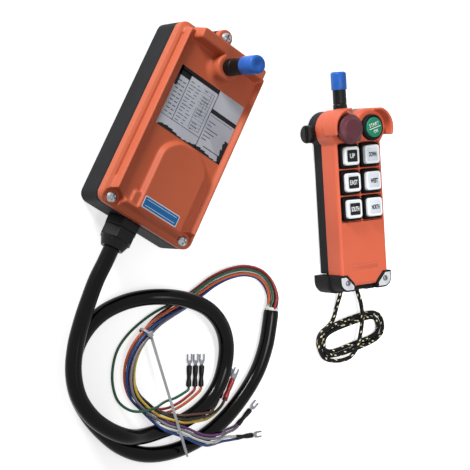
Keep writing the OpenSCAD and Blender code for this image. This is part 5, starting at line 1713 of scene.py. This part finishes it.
@dataclass
class Receiver:
    """The wall-mounted receiver: case, label, antenna and gland."""

    tray_z: float = 46.5
    dome_z: float = 52.0
    dome_x: float = 5.0
    antenna_x: float = 0.5
    antenna_y: float = 71.0
    block_z: float = 60.0
    dome_half: float = 28.0
    dome_low: float = -86.0
    dome_top: float = -8.6
    dome_arch: float = 0.78
    aerial: Antenna = Antenna(16, 29, 17.4, 20, 7.9, 9.0, 9.0)
    label: tuple[float, float, float, float] = (-37.5, -8.0, 40.5, 52.6)
    sticker: tuple[float, float, float, float] = (-18.2, -82.6, 22.6, -71.4)

    def case(self) -> None:
        """Makes the two halves of the case with soft moulded edges."""
        softened(["rx_cover"], "receiver_cover", "receiver", COVER, voxel=0.7, passes=8,
                 extra=self.dome_shape())
        softened(["rx_base"], "receiver_base", "receiver", BASE, voxel=0.8, passes=6)

    def dome_shape(self) -> Shape:
        """Draws the arched dome, which is wider towards the right rim.

        Returns:
            The dome, from inside the tray to its top.
        """
        # Height and inset of each outline: two in the tray, then the easing at the top
        levels = ((45.2, 0.0), (46.6, 0.0), (self.dome_z - 0.1, 3.0), (self.dome_z, 3.2))
        loops = []
        for z, inset in levels:
            half, top = self.dome_half - inset, self.dome_top - inset
            low, rise = self.dome_low + inset * 0.6, half * self.dome_arch
            arch = [(half * math.cos(t), top - rise + rise * math.sin(t))
                    for t in [math.pi * k / 24 for k in range(25)]]
            loop = [(half, low), *arch, (-half, low)]
            loops.append([Vector((self.dome_x + x, y, z)) for x, y in loop])
        return lofted(loops)

    def printed_label(self) -> None:
        """Makes the type label: a bare sheet with a table's rules and a dark border."""
        x0, y0, x1, y1 = self.label
        z = self.tray_z
        w, l, cx, cy = x1 - x0, y1 - y0, (x0 + x1) / 2, (y0 + y1) / 2
        sheet = stacked(((w, l, 1.6, z - 0.05), (w, l, 1.6, z + 0.22),
                         (w - 0.2, l - 0.2, 1.5, z + 0.27)), 4, cx, cy)
        piece_of("type_label", *lofted(sheet), "receiver", PAPER)
        # Left, low, right and high end of each mark, as shares of the sheet
        marks = [(0.0, 0.93, 0.605, 1.0), (0.0, 0.67, 0.035, 1.0), (0.0, 0.85, 0.172, 0.95),
                 (0.168, 0.185, 0.176, 0.93), (0.6, 0.0, 0.608, 0.95), (0.0, 0.178, 0.6, 0.186),
                 (0.6, 0.62, 1.0, 0.69), (0.62, 0.585, 0.97, 0.592), (0.70, 0.10, 0.93, 0.112)]
        for row in range(9):
            y = 0.235 + row * 0.066
            marks.append((0.03, y, 0.075 + 0.006 * ((row * 5) % 3), y + 0.013))
            marks.append((0.10, y, 0.145, y + 0.013))
        for row in range(13):
            y = 0.215 + row * 0.053
            marks.append((0.20, y, 0.25 + 0.02 * ((row * 7) % 3), y + 0.010))
            marks.append((0.30, y, 0.33 + 0.012 * ((row * 5) % 4), y + 0.010))
            marks.append((0.40, y + 0.02, 0.56, y + 0.024))
            if row % 4 != 3:
                marks.append((0.42, y, 0.46 + 0.02 * ((row * 3) % 4), y + 0.010))
        for x, low, high in ((0.56, 0.235, 0.88), (0.40, 0.235, 0.55), (0.48, 0.45, 0.72),
                             (0.52, 0.60, 0.88)):
            marks.append((x, low, x + 0.004, high))
        for row in range(6):
            y = 0.20 + row * 0.058
            marks.append((0.63, y, 0.70 + 0.04 * ((row * 5) % 4), y + 0.011))
        # The dark border's ragged inner edge, at the foot and up the right side
        ragged, wide, tall = [], 0.0245, 0.0257
        for k in range(40):
            rise = 0.03 + 0.022 * math.sin(k * 0.31) + 0.006 * ((k * 7) % 3)
            ragged.append((0.02 + k * wide, 0.0, 0.02 + (k + 1) * wide, max(0.008, rise)))
        for k in range(14):
            reach = 0.05 + 0.006 * ((k * 5) % 4)
            ragged.append((1 - reach, 0.01 + k * tall, 1.0, 0.01 + (k + 1) * tall))
        shapes = [slab(x0 + a * w, y0 + b * l, x0 + c * w, y0 + d * l, (z + 0.2, z + 0.3))
                  for a, b, c, d in marks + ragged]
        piece_of("type_label_print", *merged(*shapes), "receiver", INK)

    def rating_sticker(self) -> None:
        """Makes the small blue sticker at the foot of the dome, with rules and no words."""
        x0, y0, x1, y1 = self.sticker
        z = self.dome_z
        w, l, cx, cy = x1 - x0, y1 - y0, (x0 + x1) / 2, (y0 + y1) / 2
        edge = stacked(((w, l, 1.2, z - 0.04), (w, l, 1.2, z + 0.16)), 4, cx, cy)
        piece_of("rating_sticker", *lofted(edge), "receiver", STICKER_EDGE)
        rim, bar = 1.6, 0.45
        w, l = w - rim, l - rim
        middle = stacked(((w, l, 0.7, z + 0.1), (w, l, 0.7, z + 0.2)), 4, cx, cy)
        piece_of("rating_sticker_field", *lofted(middle), "receiver", STICKER_BLUE)
        rules = [slab(x0 + 3, y, x1 - 3, y + bar, (z + 0.14, z + 0.23))
                 for y in (y0 + 2.6, y1 - 3.0)]
        piece_of("rating_sticker_rules", *merged(*rules), "receiver", STICKER_EDGE)

    def antenna(self) -> None:
        """Makes the antenna's stub and blue cap."""
        place = at(self.antenna_x, self.antenna_y, self.block_z)
        self.aerial.build("receiver_antenna", "receiver", place,
                          ("rx_antenna_stub", "rx_antenna_cap"))

    def gland(self) -> None:
        """Makes the gland's body and nut with softened flats and flutes."""
        softened(["gland_body"], "cable_gland_body", "receiver", GLAND, voxel=0.4, passes=5)
        softened(["gland_nut"], "cable_gland_nut", "receiver", GLAND, voxel=0.3, passes=4)

    def inside(self) -> None:
        """Dresses the screws, the seal and the pieces inside the case."""
        nodes = frame["nodes"]
        SCREWS.dress(nodes["rx_cover_screws"], nodes["rx_board_screws"], nodes["rx_antenna_nut"])
        SEAL.dress(nodes["rx_seals"])
        GLAND.dress(nodes["gland_locknut"])
        SHEATH.dress(nodes["cable_inlet"])
        BOARD.dress(nodes["rx_circuit_board"])
        RELAYS.dress(nodes["rx_relays"])
        WINDING.dress(nodes["rx_transformer"])
        STRIP.dress(nodes["rx_terminal_strip"])
        TIN.dress(nodes["rx_radio_module"])

    def build(self) -> None:
        """Makes the whole receiver."""
        self.case()
        self.printed_label()
        self.rating_sticker()
        self.antenna()
        self.gland()
        self.inside()
        LOG.info("receiver built")


class KeyStyle(Enum):
    """How a key's legend is set."""

    DARK_INLAY = "white letters on a dark inlay"
    PALE = "dark letters on a pale inlay"


@dataclass(frozen=True)
class KeyMark:
    """A key: its body, its CAD node, its legend, its place and its style."""

    word: str
    body: str
    node: str
    x: float
    y: float
    style: KeyStyle


KEY_WORDS = ("UP", "DOWN", "EAST", "WEST", "SOUTH", "NORTH")
KEY_PITCH = 26.3
TOP_ROW_Y = 133.5


def keys_of_pad() -> list[KeyMark]:
    """Lists the six keys, in rows from the top.

    Returns:
        The keys.
    """
    keys = []
    for i, word in enumerate(KEY_WORDS):
        low = word.lower()
        keys.append(KeyMark(word, f"key_{low}_body", f"key_{low}", (i % 2 - 0.5) * KEY_PITCH,
                            TOP_ROW_Y - (i // 2) * KEY_PITCH,
                            KeyStyle.DARK_INLAY if i % 2 == 0 else KeyStyle.PALE))
    return keys


LEGEND_THICKNESS = 0.06


def legend(name: str, word: str, place: Matrix, height: float, width: float, body: str,
           finish: Finish, swell: float) -> bpy.types.Object:
    """Makes a raised legend in plain letters.

    Args:
        name: Name of the piece.
        word: The word.
        place: Frame of the word's middle, in millimetres, +Z out of the surface.
        height: Height of the letters.
        width: Width of the whole word.
        body: The CAD body that it rides on.
        finish: Its finish.
        swell: How far the strokes swell, as a share of the letters' height.

    Returns:
        The legend as a mesh.
    """
    curve = bpy.data.curves.new(name + "_letters", "FONT")
    curve.body = word
    curve.size = 1.0
    curve.offset = swell
    curve.resolution_u = 4
    mesh = evaluated(added(name + "_letters", curve))
    xs = [v.co.x for v in mesh.vertices]
    ys = [v.co.y for v in mesh.vertices]
    sx, sy = width / (max(xs) - min(xs)), height / (max(ys) - min(ys))
    mx, my = (max(xs) + min(xs)) / 2, (max(ys) + min(ys)) / 2
    for v in mesh.vertices:
        v.co = HANDSET @ (place @ Vector(((v.co.x - mx) * sx, (v.co.y - my) * sy, 0)) * MM)
    mesh.name = name
    obj = added(name, mesh)
    thick = obj.modifiers.new("thickness", "SOLIDIFY")
    thick.thickness = LEGEND_THICKNESS * MM
    thick.offset = 1.0
    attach(obj, body)
    finish.dress(obj)
    return obj


@dataclass
class Transmitter:
    """The hand-held transmitter: shells, keys, round buttons, antenna and key switch."""

    face_z: float = 38.0
    recess_z: float = 34.0
    key_w: float = 18.5
    key_z: float = 36.8
    key_h: float = 7.2
    key_dish: float = 0.3
    key_stem_z: float = 29.0
    stop_at: tuple[float, float] = (-17.0, 160.0)
    start_at: tuple[float, float] = (17.0, 160.0)
    stop_z: float = 44.8
    head_sides: int = 192
    flutes: int = 48
    flute_depth: float = 0.35
    flute_from: float = 14.2
    start_z: float = 41.4
    start_stem_z: float = 29.3
    screw_y: float = 149.8
    boot_out: float = 24.3
    boot_in: float = 19.1
    dark_inlay: tuple[float, float] = (12.8, 11.8)
    pale_inlay: tuple[float, float] = (13.6, 13.2)
    dark_swell: float = 0.045
    white_swell: float = 0.02
    legend_h: float = 4.8
    word_w: dict[int, float] = field(default_factory=lambda: {2: 6.4, 4: 9.6, 5: 10.0})
    word_turn: float = 14.0
    name_y: float = 22.0
    antenna_at: Point = (-9.0, 171.0, 24.0)
    aerial: Antenna = Antenna(14, 32, 15.6, 18, 5.9, 4.5, 13.0)

    def case(self) -> None:
        """Makes the shells, the bumper and the lid with soft moulded edges."""
        for nodes, name, finish, voxel, passes in (
                (["tx_front_shell", "tx_guard_horns"], "front", CASE, 0.55, 7),
                (["tx_rear_shell"], "rear", BASE, 0.65, 6),
                (["tx_bumper"], "bumper", RUBBER, 0.55, 8),
                (["tx_battery_cover"], "battery_lid", BASE, 0.5, 3),
                (["tx_corner_plates"], "corner_plates", PLATES, 0.2, 2)):
            softened(nodes, "handset_" + name, "transmitter", finish, voxel, passes)

    def key(self, mark: KeyMark) -> None:
        """Makes one key with its dished top, inlay and legend.

        Args:
            mark: The key.
        """
        w, z, top = self.key_w, self.key_z, self.key_z + self.key_h
        rows = [(8, 8, 3.99, self.key_stem_z), (8, 8, 3.99, z)]
        rows += [(w - cut, w - cut, r, level) for cut, r, level in (
            (0.6, 2.7, z), (0.0, 3.0, z + 0.5), (0.0, 3.0, top - 1.5), (0.35, 2.9, top - 0.75),
            (1.2, 2.6, top - 0.18), (2.3, 2.2, top), (3.6, 1.8, top - 0.12),
            (4.2, 1.6, top - self.key_dish))]
        low = mark.word.lower()
        cap = piece_of(f"key_cap_{low}", *lofted(stacked(rows, 6, mark.x, mark.y)), mark.body,
                       KEYS, HANDSET)
        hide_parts(mark.node)
        dark = mark.style is KeyStyle.DARK_INLAY
        iw, il = self.dark_inlay if dark else self.pale_inlay
        seat = top - self.key_dish
        inlay = stacked(((iw, il, 1.3, seat - 0.05), (iw, il, 1.3, seat + 0.1),
                         (iw - 0.2, il - 0.2, 1.2, seat + 0.15)), 5, mark.x, mark.y)
        piece_of(f"key_inlay_{low}", *lofted(inlay), mark.body, KEY_DARK if dark else KEY_PALE,
                 HANDSET)
        legend(f"key_legend_{low}", mark.word, at(mark.x, mark.y, seat + 0.15), self.legend_h,
               self.word_w[len(mark.word)], mark.body, LEGEND_WHITE if dark else LEGEND_DARK,
               self.white_swell if dark else self.dark_swell)

    def boots(self) -> None:
        """Makes the soft rubber frames round the keys."""
        far, near, low = self.boot_out, self.boot_in, self.recess_z
        rows = [(w, w, r, z) for w, r, z in (
            (near, 3.3, low), (far, 4.4, low), (far, 4.4, 35.2), (far - 0.5, 4.3, 38.6),
            (far - 1.1, 4.1, 39.8), (far - 2.2, 3.9, 40.3), (near + 1.2, 3.6, 40.38),
            (near + 0.4, 3.4, 40.1), (near, 3.3, 39.6))]
        shapes = [lofted(stacked(rows, 6, mark.x, mark.y), closed=True) for mark in keys_of_pad()]
        obj = piece_of("key_frames", *merged(*shapes), "transmitter", BOOTS, HANDSET)
        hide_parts("key_boots")

    def stop_button(self) -> None:
        """Makes the mushroom head of the stop button and its collar."""
        head = [(4.55, 5.6), (4.55, 2.9), (12.0, 2.8), (12.0, 0.3), (12.4, 0.0), (13.9, 0.0),
                (14.7, 0.5), (15.0, 1.4), (15.0, 3.0), (14.7, 4.0), (13.7, 5.1), (12.2, 6.1),
                (11.2, 6.65), (10.6, 6.9), (10.2, 7.55), (9.6, 7.85), (8.5, 7.97), (4.0, 8.0),
                (0.0, 8.0)]
        shape = turned(eased(head, radius=0.5, steps=3), self.head_sides, self.flutes,
                       self.flute_depth, self.flute_from)
        obj = piece_of("stop_mushroom", *shape, "stop_button", MAROON,
                       on_handset(*self.stop_at, self.stop_z))
        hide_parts("tx_stop_head")
        collar = eased([(4.6, 2.6), (4.6, -8.0), (7.5, -8.0), (7.5, 0.0), (11.0, 0.0), (11.0, 1.7),
                        (10.2, 2.6), (4.7, 2.6)], radius=0.4, steps=3)
        obj = piece_of("stop_collar", *turned(collar), "transmitter", RUBBER,
                       on_handset(*self.stop_at, self.face_z))
        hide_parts("tx_stop_collar")
        STEM.dress(frame["nodes"]["tx_stop_stem"])

    def start_button(self) -> None:
        """Makes the green start button, its two words, its rule and its bezel."""
        z, low = self.start_z, self.start_stem_z
        cap = eased([(0.0, low), (4.0, low), (4.0, z), (9.6, z), (10.0, z + 0.4),
                     (10.0, z + 2.7), (9.5, z + 3.3), (8.7, z + 3.55), (0.0, z + 3.6)],
                    radius=0.35, steps=3)
        obj = piece_of("start_cap", *turned(cap, sides=96), "start_button", GREEN,
                       on_handset(*self.start_at, 0))
        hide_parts("tx_start_button")
        ring = eased([(10.3, 0.0), (13.0, 0.0), (13.0, 4.0), (12.2, 5.1), (11.4, 5.55),
                      (10.7, 5.4), (10.3, 4.9), (10.3, 0.1)], radius=0.4, steps=3)
        obj = piece_of("start_bezel", *turned(ring, sides=96), "transmitter", RUBBER,
                       on_handset(*self.start_at, self.face_z))
        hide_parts("tx_start_bezel")
        top = at(*self.start_at, z + 3.58) @ turn(self.word_turn, "Z")
        for name, word, y, height, width in (("start_word", "START", 2.9, 3.7, 13.0),
                                             ("on_word", "ON", -4.0, 3.3, 5.4)):
            legend(name, word, top @ at(0, y, 0), height, width, "start_button", LEGEND_WHITE,
                   swell=0.01)
        rule = moved(slab(-7.6, -0.75, 7.6, -0.1, (-0.05, 0.07)), top)
        piece_of("start_rule", *rule, "start_button", LEGEND_WHITE, HANDSET)

    def middle_screw(self) -> None:
        """Makes the cross-headed screw between the round buttons, in its low boss."""
        place = on_handset(0, self.screw_y, self.face_z)
        boss = [(0.0, -0.6), (4.4, -0.6), (4.4, 0.5), (4.0, 0.9), (3.5, 0.9), (3.3, 0.2),
                (0.0, 0.2)]
        piece_of("middle_boss", *turned(eased(boss, radius=0.2, steps=3), sides=48),
                 "transmitter", CASE, place)
        head_r, crown, fall, rings = 3.0, 1.75, 0.9, 24
        dome = [(head_r * k / rings, crown - fall * (k / rings) ** 2)
                for k in range(rings, -1, -1)]
        points, faces = turned([(head_r, 0.1)] + dome, sides=96)
        cross_half, cross_reach, depth = 0.42, 1.9, 0.7
        for p in points:
            across, along = sorted((abs(p.x), abs(p.y)))
            if across < cross_half and along < cross_reach and p.z > 0.3:
                p.z -= depth
        piece_of("middle_screw", points, faces, "transmitter", CASE_SCREWS, place)

    def antenna(self) -> None:
        """Makes the antenna's stub with its ribbed foot and blue cap."""
        # The handset's frame is for metres, and an antenna's frame is in millimetres
        place = on_handset(*self.antenna_at) @ turn(-90, "X")
        place.translation /= MM
        self.aerial.build("handset_antenna", "transmitter", place,
                          ("tx_antenna_stub", "tx_antenna_cap"))

    def key_switch(self) -> None:
        """Makes the key switch's knob with softened edges and dresses its barrel."""
        softened(["key_switch_knob"], "key_switch_grip", "key_switch", STUBS, voxel=0.25,
                 passes=3)
        NICKEL.dress(frame["nodes"]["key_switch_barrel"])

    def name_place(self) -> None:
        """Makes the bare name place: a thin strip in its recess."""
        strip = stacked(((36.3, 6.2, 0.8, 37.5), (36.3, 6.2, 0.8, 37.78), (36.0, 5.9, 0.7, 37.85)),
                        4, 0, self.name_y)
        piece_of("name_strip", *lofted(strip), "transmitter", NAME_FIELD, HANDSET)
        border = stacked(((35.2, 5.1, 0.6, 37.8), (35.2, 5.1, 0.6, 37.92), (34.4, 4.3, 0.6, 37.92),
                          (34.4, 4.3, 0.6, 37.8)), 4, 0, self.name_y)
        piece_of("name_strip_border", *lofted(border, closed=True), "transmitter", NAME_EDGE,
                 HANDSET)

    def inside(self) -> None:
        """Dresses the screws and the pieces inside the case."""
        nodes = frame["nodes"]
        CASE_SCREWS.dress(nodes["tx_case_screws"])
        BOARD.dress(nodes["tx_circuit_board"])
        SWITCHES.dress(nodes["tx_switches"])
        WRAP.dress(nodes["tx_batteries"])
        TIN.dress(nodes["tx_battery_contacts"])

    def build(self) -> None:
        """Makes the whole transmitter."""
        self.case()
        for mark in keys_of_pad():
            self.key(mark)
        self.boots()
        self.stop_button()
        self.start_button()
        self.middle_screw()
        self.antenna()
        self.key_switch()
        self.name_place()
        self.inside()
        LOG.info("transmitter built")


def main() -> None:
    """Builds the scene: camera and cords first, then the cases and the studio."""
    logging.basicConfig(level=logging.INFO, format="%(name)s: %(message)s")
    Viewpoint().build()
    Lead().build()
    WristCord().build()
    Receiver().build()
    Transmitter().build()
    Studio().build()


if __name__ == "__main__":
    main()
